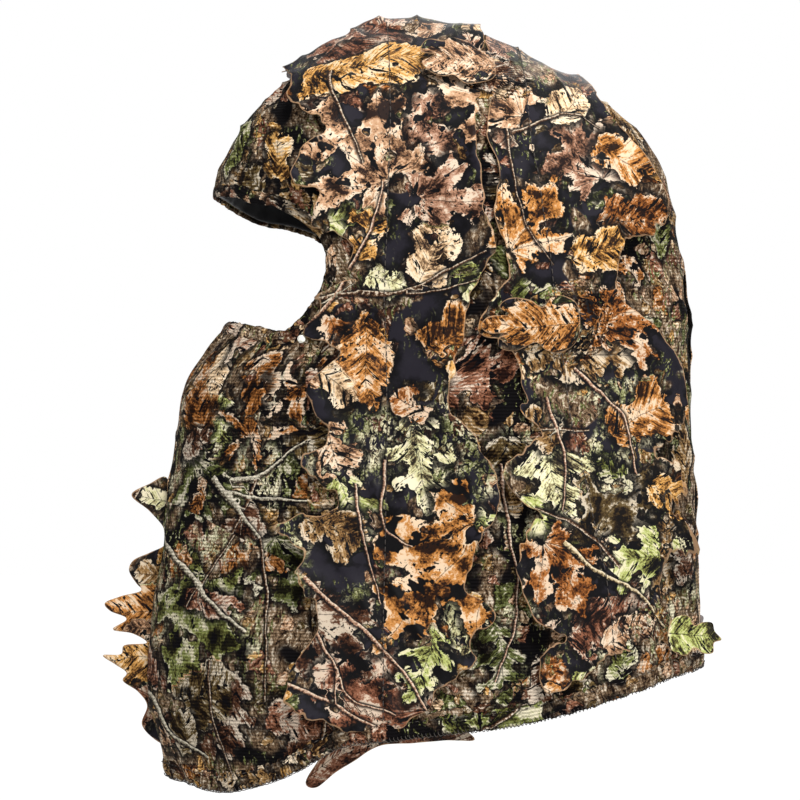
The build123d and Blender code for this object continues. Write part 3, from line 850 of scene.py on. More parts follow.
# ---------------------------------------------------------------- printed cloth materials
INK = rgb(19, 16, 20)


def tone_leaf(g, tint, tone):
    """A printed thing's colour from its tone: ink, deep shade, its own tint, then cream light."""
    deep = g.mix(1.0, tint, (0.07, 0.055, 0.06, 1), "MULTIPLY")
    shade = g.mix(1.0, tint, (0.46, 0.41, 0.37, 1), "MULTIPLY")
    light = g.mix(0.62, tint, rgb(252, 240, 220))
    leaf = g.mix(g.between(tone, 0.16, 0.34), deep, shade)
    leaf = g.mix(g.between(tone, 0.38, 0.54), leaf, tint)
    return g.mix(g.between(tone, 0.62, 0.88), leaf, light)


def tone_of(g, *parts):
    """A tone about 0.5 from pairs of a noise and how strongly it counts."""
    tone = 0.5
    for noise, weight in parts:
        tone = g.math("ADD", tone, g.math("MULTIPLY_ADD", noise, weight, -0.5 * weight))
    return tone


def printed_leaves(g, under, name, flat, grit):
    """Paints a printed layer of leaves over the colour `under`."""
    made = g.tree.nodes.new("ShaderNodeAttribute")
    made.attribute_name = name
    parts = g.node("ShaderNodeSeparateXYZ", {0: made.outputs["Vector"]}).node
    x, y, depth = parts.outputs
    code = made.outputs["Alpha"]
    fan = g.math("GREATER_THAN", code, 0.999)
    own = g.math("MULTIPLY", code, 400.0)
    tint = g.ramp(g.math("FRACT", code), [(k / 16, rgb(*c)) for k, c in enumerate(LEAF_COLOURS)])
    side = g.math("ABSOLUTE", y)
    reach = g.math("SQRT", g.math("ADD", g.math("MULTIPLY", x, x), g.math("MULTIPLY", y, y)))
    angle = g.math("ARCTAN2", y, x)

    torn = g.noise(g.vector("ADD", flat, (0, 0, 5.0)), 0.21, 4.0, roughness=0.68)
    bites = g.between(g.noise(g.vector("ADD", flat, (0, 0, 9.0)), 0.085, 2.0), 0.57, 0.70)
    ragged = g.math("ADD", depth, g.math("MULTIPLY_ADD", torn, 9.0, -4.6))
    ragged = g.math("SUBTRACT", ragged, g.math("MULTIPLY", bites, 9.0))

    slant = g.math("SUBTRACT", x, g.math("MULTIPLY", side, 0.8))
    feather = g.node("ShaderNodeCombineXYZ", {0: g.math("MULTIPLY", slant, 0.42), 1: g.math("MULTIPLY", y, 0.13), 2: own})
    spread = g.node("ShaderNodeCombineXYZ", {0: g.math("MULTIPLY", reach, 0.10), 1: g.math("MULTIPLY", angle, 3.4), 2: own})
    along = g.mix(fan, feather, spread)
    streaks = g.noise(along, 1.0, 5.0, roughness=0.70)
    blotch = g.noise(g.vector("ADD", flat, (31.0, 7.0, 0)), 0.075, 3.0)
    tone = tone_of(g, (streaks, 2.3), (blotch, 2.6), (grit, 1.1))
    tone = g.math("ADD", tone, g.math("MULTIPLY", g.between(ragged, 2.6, 0.7), 0.22))
    rib = g.math("ABSOLUTE", g.math("SUBTRACT", g.math("FRACT", g.math("DIVIDE", slant, 6.8)), 0.5))
    rib = g.math("MULTIPLY_ADD", rib, 5.2, 0.12)
    rays = g.math("DIVIDE", g.math("MULTIPLY", reach, g.math("ABSOLUTE", g.math("SINE", g.math("MULTIPLY", angle, 4.5)))), 4.5)
    vein = g.math("MINIMUM", side, rib)
    vein = g.math("ADD", g.math("MULTIPLY", vein, g.math("SUBTRACT", 1.0, fan)), g.math("MULTIPLY", rays, fan))
    vein = g.math("ADD", vein, g.math("MULTIPLY_ADD", grit, 1.4, -0.7))
    tone = g.math("ADD", tone, g.math("MULTIPLY", g.between(vein, 1.7, 0.5), 0.10))
    leaf = tone_leaf(g, tint, tone)

    spots = g.between(g.noise(g.vector("MULTIPLY", flat, (0.70, 0.52, 1)), 1.0, 2.0), 0.585, 0.62)
    spotty = g.between(g.noise(g.vector("ADD", flat, (0, 0, 3.0)), 0.04, 1.0), 0.44, 0.52)
    gashes = g.between(g.noise(g.vector("ADD", along, (0, 0, 50.0)), 0.8, 3.0, roughness=0.6), 0.415, 0.395)
    dark = g.math("MAXIMUM", g.math("MULTIPLY", g.between(vein, 0.40, 0.10), 0.6), g.math("MULTIPLY", spots, spotty))
    leaf = g.mix(g.math("MAXIMUM", dark, gashes), leaf, INK)
    leaf = g.mix(g.between(ragged, 0.55, 0.15), leaf, INK)
    below = g.mix(g.math("MULTIPLY", g.between(ragged, -5.5, -0.5), 0.90), under, rgb(15, 13, 17))
    return g.mix(g.between(ragged, -0.06, 0.06), below, leaf)


def printed_twigs(g, under, flat):
    made = g.tree.nodes.new("ShaderNodeAttribute")
    made.attribute_name = "twigs"
    parts = g.node("ShaderNodeSeparateXYZ", {0: made.outputs["Vector"]}).node
    across, gap, half = parts.outputs
    tint = g.ramp(made.outputs["Alpha"], [(k / 4, rgb(*c)) for k, c in enumerate(TWIG_COLOURS)])
    knobby = g.math("MULTIPLY_ADD", g.noise(flat, 0.25, 2.0), 1.1, 0.40)
    half = g.math("MULTIPLY", half, knobby)
    across = g.math("ADD", across, g.math("MULTIPLY_ADD", g.noise(flat, 0.07, 1.0), 4.0, -2.0))
    off = g.math("ABSOLUTE", across)
    close = g.math("LESS_THAN", gap, 5.0)
    shade = g.math("MULTIPLY", g.between(g.math("SUBTRACT", off, half), 1.7, 0.1), close)
    under = g.mix(g.math("MULTIPLY", shade, 0.88), under, INK)
    lit = g.between(g.math("DIVIDE", across, half), -1.0, 0.8)
    bark = g.noise(flat, 0.8, 3.0, roughness=0.7)
    twig = tone_leaf(g, tint, tone_of(g, (bark, 2.2), (lit, 0.65)))
    body = g.math("MULTIPLY", g.between(g.math("SUBTRACT", off, half), 0.08, -0.08), close)
    return g.mix(body, under, twig)


def litter(g, under, flat, grit, size, share, colours, seed):
    """Paints scraps of dry leaf and bark, each about size mm across, over part of the cloth."""
    place = g.vector("ADD", flat, (seed * 71.0, seed * 37.0, 0))
    cells = g.tree.nodes.new("ShaderNodeTexVoronoi")
    cells.voronoi_dimensions = "2D"
    cells.inputs["Scale"].default_value = 1 / size
    g.tree.links.new(place, cells.inputs["Vector"])
    draws = g.node("ShaderNodeSeparateColor", {0: cells.outputs["Color"]}).node
    turn, which, chance = draws.outputs
    border = g.node("ShaderNodeTexVoronoi", {"Vector": place, "Scale": 1 / size}, output=0, voronoi_dimensions="2D",
                    feature="DISTANCE_TO_EDGE")  # fmt: skip
    away = g.vector("SUBTRACT", place, cells.outputs["Position"])
    turned = g.node("ShaderNodeVectorRotate", {"Vector": away, "Angle": g.math("MULTIPLY", turn, 6.283)})
    long_way = g.vector("MULTIPLY", turned, (5.5 / size, 1.4 / size, 1))
    streaks = g.noise(g.vector("ADD", long_way, g.scaled(cells.outputs["Color"], 20.0)), 1.0, 3.0, roughness=0.68)
    tint = g.ramp(which, [(k / len(colours), rgb(*LEAF_COLOURS[c])) for k, c in enumerate(colours)])
    scrap = tone_leaf(g, tint, tone_of(g, (streaks, 2.8), (grit, 0.9)))
    edge = g.math("ADD", border, g.math("MULTIPLY_ADD", grit, 0.30, -0.15))
    scrap = g.mix(g.between(edge, 0.16, 0.12), scrap, INK)
    shape = g.math("MULTIPLY", g.between(edge, 0.09, 0.11), g.math("GREATER_THAN", chance, 1 - share))
    return g.mix(shape, under, scrap)


def camo_material(name, knitted):
    """The woodland print, on smooth leaf cloth or on ribbed knitted mesh."""
    g = Graph(name)
    cloth = g.node("ShaderNodeUVMap", uv_map="cloth")
    flat = g.scaled(cloth, 1000.0)
    wander = g.scaled(g.vector("SUBTRACT", g.noise(flat, 0.11, 2.0, output=1), (0.5, 0.5, 0.5)), 7.0)
    warped = g.vector("ADD", flat, wander)
    grit = g.noise(flat, 0.80, 3.0, roughness=0.7)
    zones = g.node("ShaderNodeSeparateColor", {0: g.node("ShaderNodeAttribute", attribute_name="zone")}).node
    green = zones.outputs[2]

    # the ground: dark cloth with bark, leaf litter, grass and lichen
    bark = g.noise(g.vector("MULTIPLY", warped, (0.42, 0.11, 1)), 1.0, 5.0, roughness=0.72)
    bark_colour = tone_leaf(g, rgb(146, 124, 100), tone_of(g, (bark, 3.0), (grit, 1.0)))
    patch = g.noise(g.vector("ADD", flat, (90.0, 40.0, 0)), 0.026, 2.0)
    if knitted:
        colour = g.mix(g.between(patch, 0.43, 0.50), rgb(22, 19, 21), bark_colour)
    else:
        colour = g.mix(g.between(patch, 0.54, 0.56), rgb(54, 51, 60), bark_colour)
    colour = litter(g, colour, warped, grit, 17.0, 0.40 if knitted else 0.30, (UMBER, OLIVE, STRAW, RUST, MOSS, RUSSET), 1)
    colour = litter(g, colour, warped, grit, 7.0, 0.34 if knitted else 0.22, (TAN, OLIVE, STRAW, GOLD, CREAM, RUSSET), 2)

    blades = g.noise(g.vector("MULTIPLY", warped, (0.55, 0.10, 1)), 1.0, 2.0)
    grass = g.math("MULTIPLY", g.between(blades, 0.585, 0.605), g.between(g.noise(flat, 0.03, 1.0), 0.48, 0.56))
    colour = g.mix(grass, colour, tone_leaf(g, rgb(134, 140, 90), tone_of(g, (grit, 2.6), (bark, 1.0))))

    growth = g.noise(g.vector("MULTIPLY", warped, (1.0, 0.45, 1)), 0.24, 4.0, roughness=0.70)
    place = g.math("MULTIPLY", g.between(g.noise(flat, 0.022, 1.0), 0.47, 0.53), g.between(green, 0.25, 0.5))
    lichen_tint = g.mix(g.between(g.noise(flat, 0.05, 1.0), 0.4, 0.6), rgb(154, 158, 110), rgb(232, 226, 196))
    lichen = tone_leaf(g, lichen_tint, tone_of(g, (grit, 2.4), (blades, 1.0)))
    if not knitted:
        cracks = g.math("ABSOLUTE", g.math("SUBTRACT", g.noise(g.vector("MULTIPLY", warped, (1.0, 0.6, 1)), 0.15, 2.0), 0.5))
        lichen = g.mix(g.between(cracks, 0.030, 0.018), lichen, INK)
    cover = 0.515 if knitted else 0.475
    colour = g.mix(g.math("MULTIPLY", g.between(growth, cover, cover + 0.015), place), colour, lichen)

    colour = printed_leaves(g, colour, "leaves_0", warped, grit)
    colour = printed_leaves(g, colour, "leaves_1", warped, grit)
    colour = printed_twigs(g, colour, flat)

    if not knitted:
        cut = g.node("ShaderNodeAttribute", output=2, attribute_name="cut_edge")
        cut = g.math("ADD", cut, g.math("MULTIPLY_ADD", g.noise(flat, 0.12, 3.0), 1.1, -0.60))
        colour = g.mix(g.math("MULTIPLY", g.between(cut, 0.72, 0.86), 0.75), colour, rgb(196, 164, 132))
    strength, brightness = (1.16, 0.92) if knitted else (1.30, 0.80)
    colour = g.node("ShaderNodeGamma", {0: colour, 1: strength})
    colour = g.mix(1.0, colour, (brightness, brightness, brightness, 1), "MULTIPLY")
    split = g.node("ShaderNodeSeparateXYZ", {0: flat}).node
    if knitted:
        rib = g.math("SINE", g.math("MULTIPLY", split.outputs[1], 2 * math.pi / 1.7))
        hole = g.math("SINE", g.math("MULTIPLY", split.outputs[0], 2 * math.pi / 1.2))
        weave = g.math("ADD", g.math("MULTIPLY", rib, 0.6), g.math("MULTIPLY", g.math("MULTIPLY", rib, hole), 0.3))
        # painted shade: the colour is darkened in the grooves between the knit's ribs and in its holes
        rib_shade = g.math("MULTIPLY_ADD", weave, 0.30, 0.80)
        rib_shade_colour = g.node("ShaderNodeCombineColor", {0: rib_shade, 1: rib_shade, 2: rib_shade})
        colour = g.mix(1.0, colour, rib_shade_colour, "MULTIPLY")
        return g.finish(colour, 0.9, weave, 0.00022, Specular_IOR_Level=0.06)
    warp = g.math("SINE", g.math("MULTIPLY", split.outputs[0], 2 * math.pi / 0.5))
    weft = g.math("SINE", g.math("MULTIPLY", split.outputs[1], 2 * math.pi / 0.5))
    weave = g.math("MULTIPLY", warp, weft)
    sheen = g.math("MULTIPLY_ADD", g.noise(flat, 0.03, 2.0), 0.18, 0.42)
    return g.finish(colour, sheen, weave, 0.00003, Specular_IOR_Level=0.10)


def plain_cloth(name, colour, other, roughness, scale, depth=0.0001, **settings):
    """A plain coloured cloth, thread or elastic with a fine mottle."""
    g = Graph(name)
    place = g.node("ShaderNodeTexCoord", output=3)
    grain = g.noise(place, scale, 3.0)
    tint = g.mix(g.between(grain, 0.35, 0.65), colour, other)
    return g.finish(tint, roughness, grain, depth, **settings)


LEAF_CLOTH = camo_material("leaf_cloth", knitted=False)
MESH_CLOTH = camo_material("knitted_camo", knitted=True)
THREAD = plain_cloth("dark_thread", rgb(34, 30, 30), rgb(66, 58, 50), 0.75, 2500.0)
LINING = plain_cloth("black_lining", rgb(14, 14, 17), rgb(26, 26, 30), 0.42, 900.0, Sheen_Weight=0.3)
WHITE_TIP = plain_cloth("melted_tip", rgb(236, 236, 228), rgb(206, 204, 192), 0.35, 700.0)
MESH_REVERSE = plain_cloth("knitted_reverse", rgb(46, 40, 33), rgb(17, 15, 14), 0.9, 90.0)
LEAF_REVERSE = plain_cloth("leaf_reverse", rgb(126, 116, 112), rgb(84, 76, 76), 0.6, 110.0)


# ---------------------------------------------------------------- knitted hood
CLOTH_STEP = 2.0 * MM
FABRIC_LIFT = 1.0 * MM


def cloth_grid(theta_low, theta_high, s_low, s_high):
    """A grid of the hood's cloth: rest points, flat places, faces."""
    columns = int((theta_high - theta_low) * 105 * MM / CLOTH_STEP)
    rows = int((s_high - s_low) / CLOTH_STEP)
    theta = np.linspace(theta_low, theta_high, columns + 1)
    s = np.linspace(s_low, s_high, rows + 1)
    grid_theta, grid_s = np.meshgrid(theta, s)
    points = hood_points(grid_theta.ravel(), grid_s.ravel()).reshape(rows + 1, columns + 1, 3)
    along = np.concatenate([np.zeros((rows + 1, 1)), np.cumsum(np.linalg.norm(np.diff(points, axis=1), axis=2), axis=1)], axis=1)
    side = math.copysign(math.pi / 2, theta_low + theta_high) if theta_low * theta_high >= 0 else 0.0
    middle = np.array([np.interp(side, theta, row) for row in along])
    flat = np.stack([along - middle[:, None], np.repeat(s[:, None], columns + 1, axis=1)], axis=2)
    k = np.arange((rows + 1) * (columns + 1)).reshape(rows + 1, columns + 1)
    faces = np.stack([k[:-1, :-1], k[1:, :-1], k[1:, 1:], k[:-1, 1:]], axis=2).reshape(-1, 4)
    return points.reshape(-1, 3), flat.reshape(-1, 2), faces


def cut_grid(points, flat, faces, keep_face, planes):
    """Cuts a grid exactly along planes, each (point, normal, lowest z, highest z), then keeps the faces that keep_face accepts."""
    bm = bmesh.new()
    uv = bm.loops.layers.uv.new("cloth")
    made = [bm.verts.new(p) for p in points]
    for face in faces:
        corners = bm.faces.new([made[i] for i in face])
        for loop, i in zip(corners.loops, face):
            loop[uv].uv = flat[i]
    for point, normal, lowest, highest in planes:
        near = [f for f in bm.faces if lowest < f.calc_center_median().z < highest]
        geometry = {e for f in near for e in f.edges} | {v for f in near for v in f.verts} | set(near)
        bmesh.ops.bisect_plane(bm, geom=list(geometry), dist=1e-6, plane_co=point, plane_no=normal)
    centres = np.array([f.calc_center_median() for f in bm.faces])
    kept = keep_face(centres)
    bmesh.ops.delete(bm, geom=[f for f, ok in zip(list(bm.faces), kept) if not ok], context="FACES")
    bm.verts.index_update()
    vertices = np.array([v.co for v in bm.verts])
    places = np.zeros((len(vertices), 2))
    for f in bm.faces:
        for loop in f.loops:
            places[loop.vert.index] = loop[uv].uv
    rows = [[v.index for v in f.verts] for f in bm.faces]
    bm.free()
    return vertices, places, rows


SHEETS = []
SEAM = np.array(CHEEK_SEAM) * MM
SEAM_NORMAL = (0, SEAM[1, 1] - SEAM[0, 1], SEAM[0, 0] - SEAM[1, 0])
GROWN_OPENING = 3 * MM
FACE_CENTRE_Y = 0.0


def ahead_of_seam(points):
    share = (points[:, 2] - SEAM[0, 1]) / (SEAM[1, 1] - SEAM[0, 1])
    return (points[:, 1] < SEAM[0, 0] + share * (SEAM[1, 0] - SEAM[0, 0])) & (points[:, 2] < -150 * MM)


def in_opening(points):
    points = points - np.stack([0 * points[:, 0], 0 * points[:, 0], brow_rise(points)], axis=1)
    outline = np.vstack([opening_side()[::4], [(-0.2, -0.150), (-0.2, -0.087)]])
    apart, _ = from_opening(points[:, 1], points[:, 2])
    return (inside_polygon(points[:, 1], points[:, 2], outline) | (apart < GROWN_OPENING)) & (points[:, 1] < -30 * MM)


def above_hem(points):
    return points[:, 2] > hem_height(points[:, 1]) + 4 * MM


def above_fold(points):
    pull = np.array(PULL) / np.linalg.norm(PULL)
    return (points - np.array(FOLD_POINT) * MM) @ pull < 0


def knitted_panel(name, grid, keep_face, planes, replaced, seed):
    vertices, flat, faces = cut_grid(*grid, keep_face, planes)
    obj = piece(name, lifted(vertices, FABRIC_LIFT), faces, "hood", MESH_CLOTH, flat + (seed, 0))
    print_cloth(obj, vertices, flat, seed, True, MESH_PRINT, MESH_TWIGS, fill=len(vertices) // 250)
    thicken(obj, 0.5 * MM, MESH_REVERSE, from_reverse=False)
    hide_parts(*replaced)
    SHEETS.append((obj, flat, faces))
    return obj


seam_cut = ((0, SEAM[0, 0], SEAM[0, 1]), SEAM_NORMAL, -0.45, -0.150)
fold_cut = (np.array(FOLD_POINT) * MM, PULL, -0.45, -0.150)
lowest_s = FORM_S[-1] - 1 * MM

for side, sign in SIDES.items():
    angles = (0, math.pi) if sign > 0 else (-math.pi, 0)
    knitted_panel(
        f"hood_side_{side}",
        cloth_grid(*angles, 1.5 * MM, lowest_s),
        lambda c: above_hem(c) & ~in_opening(c) & ~ahead_of_seam(c),
        [seam_cut],
        [f"side_panel_{side}", f"cheek_seam_{side}"],
        1 if sign > 0 else 2,
    )

front_grid = cloth_grid(-1.45, 1.45, down_at(np.array([-0.140]))[0], lowest_s)
nose_cover = knitted_panel(
    "nose_cover_cloth",
    front_grid,
    lambda c: ~in_opening(c) & ahead_of_seam(c) & above_fold(c),
    [seam_cut, fold_cut],
    ["nose_cover"],
    3,
)
knitted_panel(
    "bib_cloth",
    front_grid,
    lambda c: above_hem(c) & ahead_of_seam(c) & ~above_fold(c),
    [seam_cut, fold_cut],
    ["bib_panel", "front_seam"],
    4,
)


# ---------------------------------------------------------------- bands: folded casings round the openings
def band_frame(loop, closed=True):
    """Tangent, way out and way across for each point of a line on the hood."""
    ahead = np.roll(loop, -1, axis=0) - np.roll(loop, 1, axis=0) if closed else np.gradient(loop, axis=0)
    ahead /= np.linalg.norm(ahead, axis=1, keepdims=True)
    out = outward(loop)
    across = np.cross(out, ahead)
    across /= np.linalg.norm(across, axis=1, keepdims=True)
    return ahead, out, across


def band(name, loop, across_sign, width, thickness, gather, seed, body, material, replaced, closed=True, ring=16, shift=0.0):
    """A folded casing along a line: `width` runs away from the line's edge. gather is the depth of its puckers."""
    _, out, across = band_frame(loop, closed)
    along = np.arange(len(loop)) * 1.0
    vertices, flat = [], []
    near_end = np.clip(np.minimum(along, along[::-1]) / 6, 0, 1) if not closed else np.ones(len(loop))
    for k in range(ring):
        angle = 2 * math.pi * k / ring
        reach = (0.5 - 0.5 * math.cos(angle)) * width * (0.55 + 0.45 * near_end)
        rise = math.sin(angle) * thickness / 2 * (0.35 + 0.65 * near_end)
        bump = noise_along(along / 1.9 + 0.6 * math.sin(angle), seed) * gather * near_end
        edge = noise_along(along / 1.7, seed + 1) * gather * 0.7
        base = loop + across * (across_sign * (reach + edge))[:, None]
        base = onto_hood(base)
        stand = FABRIC_LIFT + rise + bump * (0.5 + 0.5 * math.sin(angle))
        vertices.append(base + outward(base) * (stand + folds(base))[:, None])
        flat.append(np.stack([along * MM, reach * (1 if math.sin(angle) > 0 else -1)], axis=1))
    vertices, flat = np.stack(vertices, axis=1), np.stack(flat, axis=1)
    count = len(loop)
    faces = []
    for i in range(count if closed else count - 1):
        j = (i + 1) % count
        for k in range(ring):
            m = (k + 1) % ring
            faces.append((i * ring + k, i * ring + m, j * ring + m, j * ring + k))
    if not closed:
        faces.append(tuple(reversed(range(ring))))
        faces.append(tuple((count - 1) * ring + k for k in range(ring)))
    if across_sign < 0:
        faces = [f[::-1] for f in faces]
    obj = piece(name, vertices.reshape(-1, 3), faces, body, material, flat.reshape(-1, 2) + (shift, 0.3))
    print_cloth(obj, np.repeat(loop, ring, axis=0), flat.reshape(-1, 2), seed, True, fill=len(loop) // 30)
    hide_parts(*replaced)
    return obj


opening = opening_loop(1 * MM)
opening = onto_hood(opening + np.stack([0 * opening[:, 0], 0 * opening[:, 0], brow_rise(opening)], axis=1))
in_band = (opening[:, 1] < BAND_START * MM) & (opening[:, 2] < -140 * MM)
first = int(np.argmax(in_band))
last = len(in_band) - int(np.argmax(in_band[::-1])) - 1
nose_line = opening[first : last + 1]
fixed_line = np.vstack([opening[last - 3 :], opening[: first + 4]])
band("nose_band", nose_line, 1, 8 * MM, 2.6 * MM, 1.5 * MM, 31, "nose_band", MESH_CLOTH, ["nose_casing", "nose_elastic"], closed=False, shift=0.7)
band("brow_band", fixed_line, 1, 6.5 * MM, 2.4 * MM, 0.7 * MM, 33, "hood", MESH_CLOTH, ["brow_casing", "brow_elastic"], closed=False, shift=0.2)
band("hem_band", hem_loop(1 * MM), 1, 10 * MM, 2.6 * MM, 1.2 * MM, 35, "hood", MESH_CLOTH, ["hem_casing", "hem_elastic"], shift=0.5)


def brow_lining():
    """The smooth black lining behind the brow."""
    near = opening[:, 2] > -116 * MM
    line = np.vstack([opening[len(near) - int(np.argmin(near[::-1])) :], opening[: int(np.argmin(near))]])
    _, out, across = band_frame(line, closed=False)
    rows = 14
    depth = np.linspace(2.2, 26, rows) * MM
    vertices = []
    for d in depth:
        base = onto_hood(line + across * d)
        vertices.append(base + outward(base) * (-1.0 * MM + folds(base) * 0.6)[:, None])
    vertices = np.stack(vertices, axis=1)
    k = np.arange(len(line) * rows).reshape(len(line), rows)
    faces = np.stack([k[:-1, :-1], k[:-1, 1:], k[1:, 1:], k[1:, :-1]], axis=2).reshape(-1, 4)
    flat = np.stack(np.meshgrid(depth, np.arange(len(line)) * MM), axis=2).reshape(-1, 2)
    obj = piece("brow_lining_cloth", vertices.reshape(-1, 3), faces, "hood", LINING, flat)
    thicken(obj, 0.4 * MM)
    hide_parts("brow_lining")
    SHEETS.append((obj, flat, faces))


brow_lining()


# ---------------------------------------------------------------- leaf strips
STRIP_STEP = 1.8 * MM


def leaf_strip(name, outline, stitch, sign, seed, replaced):
    edge = smooth_outline(to_chart(outline), 1.6 * MM)
    at = np.column_stack([edge / (6 * MM), np.full(len(edge), seed)])
    edge = edge + np.column_stack([lattice_noise(at, 41), lattice_noise(at, 42)]) * (edge[:, 1:] > 3 * MM) * 1.5 * MM
    flat, faces = fill_outline(edge, STRIP_STEP, seed)
    flat[:, 1] = np.maximum(flat[:, 1], 0)
    base = chart_points(flat, sign)
    sewn = to_chart(stitch)
    sewn_y = np.interp(flat[:, 1], sewn[:, 1], sewn[:, 0])
    aside = np.abs(flat[:, 0] - sewn_y)
    inward = edge_distance(flat, edge)
    loose = np.clip((aside - 10 * MM) / (34 * MM), 0, 1.3)
    p = base / MM + (0 if sign > 0 else 400)
    wave = lattice_noise(p / 22, seed + 1)
    curl = np.exp(-inward / (5 * MM)) * loose * (2.2 + 3.4 * wave) * MM
    pucker = noise_along(flat[:, 1] / (5 * MM) + seed, seed + 2) * np.exp(-aside / (9 * MM)) * 0.8 * MM
    billow = (lattice_noise(p / 30, seed + 3) + 1) * 1.3 * MM * np.clip(aside / (30 * MM), 0, 1)
    lift = 1.9 * MM + 5.0 * MM * loose**1.5 + np.maximum(curl, -1.2 * MM * loose) + pucker + billow
    clear = np.min([np.linalg.norm(base - np.array(j["pos_m"]), axis=1) for j in frame["joints"] if "leaf" in j["child"]], axis=0)
    under = np.clip((clear - 22 * MM) / (16 * MM), 0, 1)
    lift = lift * under + 1.5 * MM * (1 - under)
    ridge = np.clip(flat[:, 1] / (16 * MM), 0, 1) ** 0.7
    vertices = base + outward(base) * ((1.9 * MM) * (1 - ridge) + lift * ridge + folds(base))[:, None]
    ordered = faces if sign > 0 else [f[::-1] for f in faces]
    cut = flat_places(flat)
    obj = piece(name, vertices, ordered, "hood", LEAF_CLOTH, cut + (seed, 0))
    print_cloth(obj, base, cut, seed, False, STRIP_PRINT, STRIP_TWIGS, fill=50, inward=inward)
    thicken(obj, 0.35 * MM, LEAF_REVERSE)
    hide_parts(*replaced)
    SHEETS.append((obj, cut, faces))
    return obj


def stitch_line(name, lines, sign, replaced):
    """Running stitches along a strip's middle."""
    paths = []
    for line in lines:
        chart = resample(to_chart(line), 0.5 * MM)
        base = chart_points(chart, sign)
        points = base + outward(base) * (2.45 * MM + folds(base))[:, None]
        for start in range(4, len(points) - 8, 7):
            dash = points[start : start + 6].copy()
            dash[0] -= outward(dash[:1])[0] * 0.5 * MM
            dash[-1] -= outward(dash[-1:])[0] * 0.5 * MM
            paths.append(dash)
    vertices, faces = tube_mesh(paths, 0.28 * MM)
    obj = piece(name, vertices, faces, "hood", THREAD)
    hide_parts(*replaced)


for side, sign in SIDES.items():
    leaf_strip(f"front_leaf_strip_{side}", FRONT_STRIP, FRONT_STITCH, sign, 40 + sign, [f"leaf_strip_front_{side}"])
    leaf_strip(f"rear_leaf_strip_{side}", REAR_STRIP, REAR_STITCH, sign, 50 + sign, [f"leaf_strip_rear_{side}"])
    stitch_line(f"strip_stitches_{side}", [FRONT_STITCH, REAR_STITCH], sign, [f"strip_stitching_{side}"])


FIN_PRINT = [
    ("scrap", np.array(stem), length, heading, colour)
    for stem, length, heading, colour in [
        ((-120, -246), 16, 170, LICHEN), ((-119, -284), 20, 176, STRAW), ((-118, -301), 42, 184, ORANGE),
        ((-118, -312), 34, 180, TAN), ((-118, -329), 42, 176, GOLD), ((-118, -346), 34, 200, RUSSET),
    ]
]  # fmt: skip


def front_leaves():
    """Leaves that stand out ahead of the front seam."""
    edge = smooth_outline(np.array(FRONT_LEAVES) * MM, 1.2 * MM)
    flat, faces = fill_outline(edge, 1.4 * MM, 60)
    out = np.clip((-124 * MM - flat[:, 0]) / (30 * MM), 0, 1)
    wave = lattice_noise(np.stack([flat[:, 0] / (30 * MM), flat[:, 1] / (17 * MM), 0 * out], axis=1), 61)
    vertices = np.stack([wave * 7 * MM * out + 0.3 * MM, flat[:, 0], flat[:, 1]], axis=1)
    obj = piece("front_leaves", vertices, faces, "hood", LEAF_CLOTH, flat + (0.9, 0))
    upper = vertices * (1, 1, 0.55)
    print_cloth(obj, upper, flat * (1, -1), 62, fill=16, inward=edge_distance(flat, edge), own=FIN_PRINT)
    thicken(obj, 0.35 * MM)
    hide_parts("front_leaf_strip")
    SHEETS.append((obj, flat, faces))


front_leaves()


def hanging_leaf():
    """The leaf that hangs below the hem on the wearer's right."""
    edge = smooth_outline(to_chart(HANGING_LEAF), 1.2 * MM)
    flat, faces = fill_outline(edge, 1.4 * MM, 70)
    base = chart_points(flat, -1)
    drop = np.clip((flat[:, 1] - flat[:, 1].min()) / (35 * MM), 0, 1)
    wave = lattice_noise(base / MM / 14, 71)
    vertices = base + outward(base) * (3.6 * MM + drop * (2 + 3 * wave) * MM + folds(base) * (1 - drop))[:, None]
    obj = piece("hanging_leaf_cloth", vertices, [f[::-1] for f in faces], "hood", LEAF_CLOTH, flat + (7.7, 0))
    middle = flat.mean(axis=0) / MM * (1, -1)
    own = [("scrap", middle + (-50, 0), 90, 0, RUSSET), ("scrap", middle + (60, 0), 90, 180, UMBER)]
    print_cloth(obj, base, flat, 72, fill=4, inward=edge_distance(flat, edge), own=own)
    thicken(obj, 0.35 * MM)
    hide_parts("hanging_leaf")
    SHEETS.append((obj, flat, faces))


hanging_leaf()


# ---------------------------------------------------------------- loose leaves on their joints
LEAF_OUTLINES = {
    "crown_leaf": [(0, 9), (8, 15), (17, 17), (22, 12), (27, 13), (34, 10), (37, 3), (31, 0), (37, -5), (33, -12), (25, -11),
                   (20, -16), (10, -15), (6, -10), (0, -10)],
    "ear_leaf": [(0, 9), (9, 15), (17, 13), (22, 9), (32, 13), (40, 11), (41, 6), (36, 4), (47, 3), (51, -1), (47, -5),
                 (36, -6), (41, -10), (36, -14), (26, -13), (19, -9), (13, -14), (5, -13), (0, -9)],
    "collar_leaf": [(0, 6), (5, 10), (10, 10), (13, 6), (18, 8), (23, 8), (24, 4), (28, 0), (24, -2), (24, -7), (19, -8),
                    (14, -6), (10, -10), (4, -9), (0, -6)],
}  # fmt: skip
LEAF_TINT = {"crown_leaf": TAN, "ear_leaf": ORANGE, "collar_leaf": PALE}
LEAF_BEND = {"crown_leaf": 3.2, "ear_leaf": 2.8, "collar_leaf": 0.5}


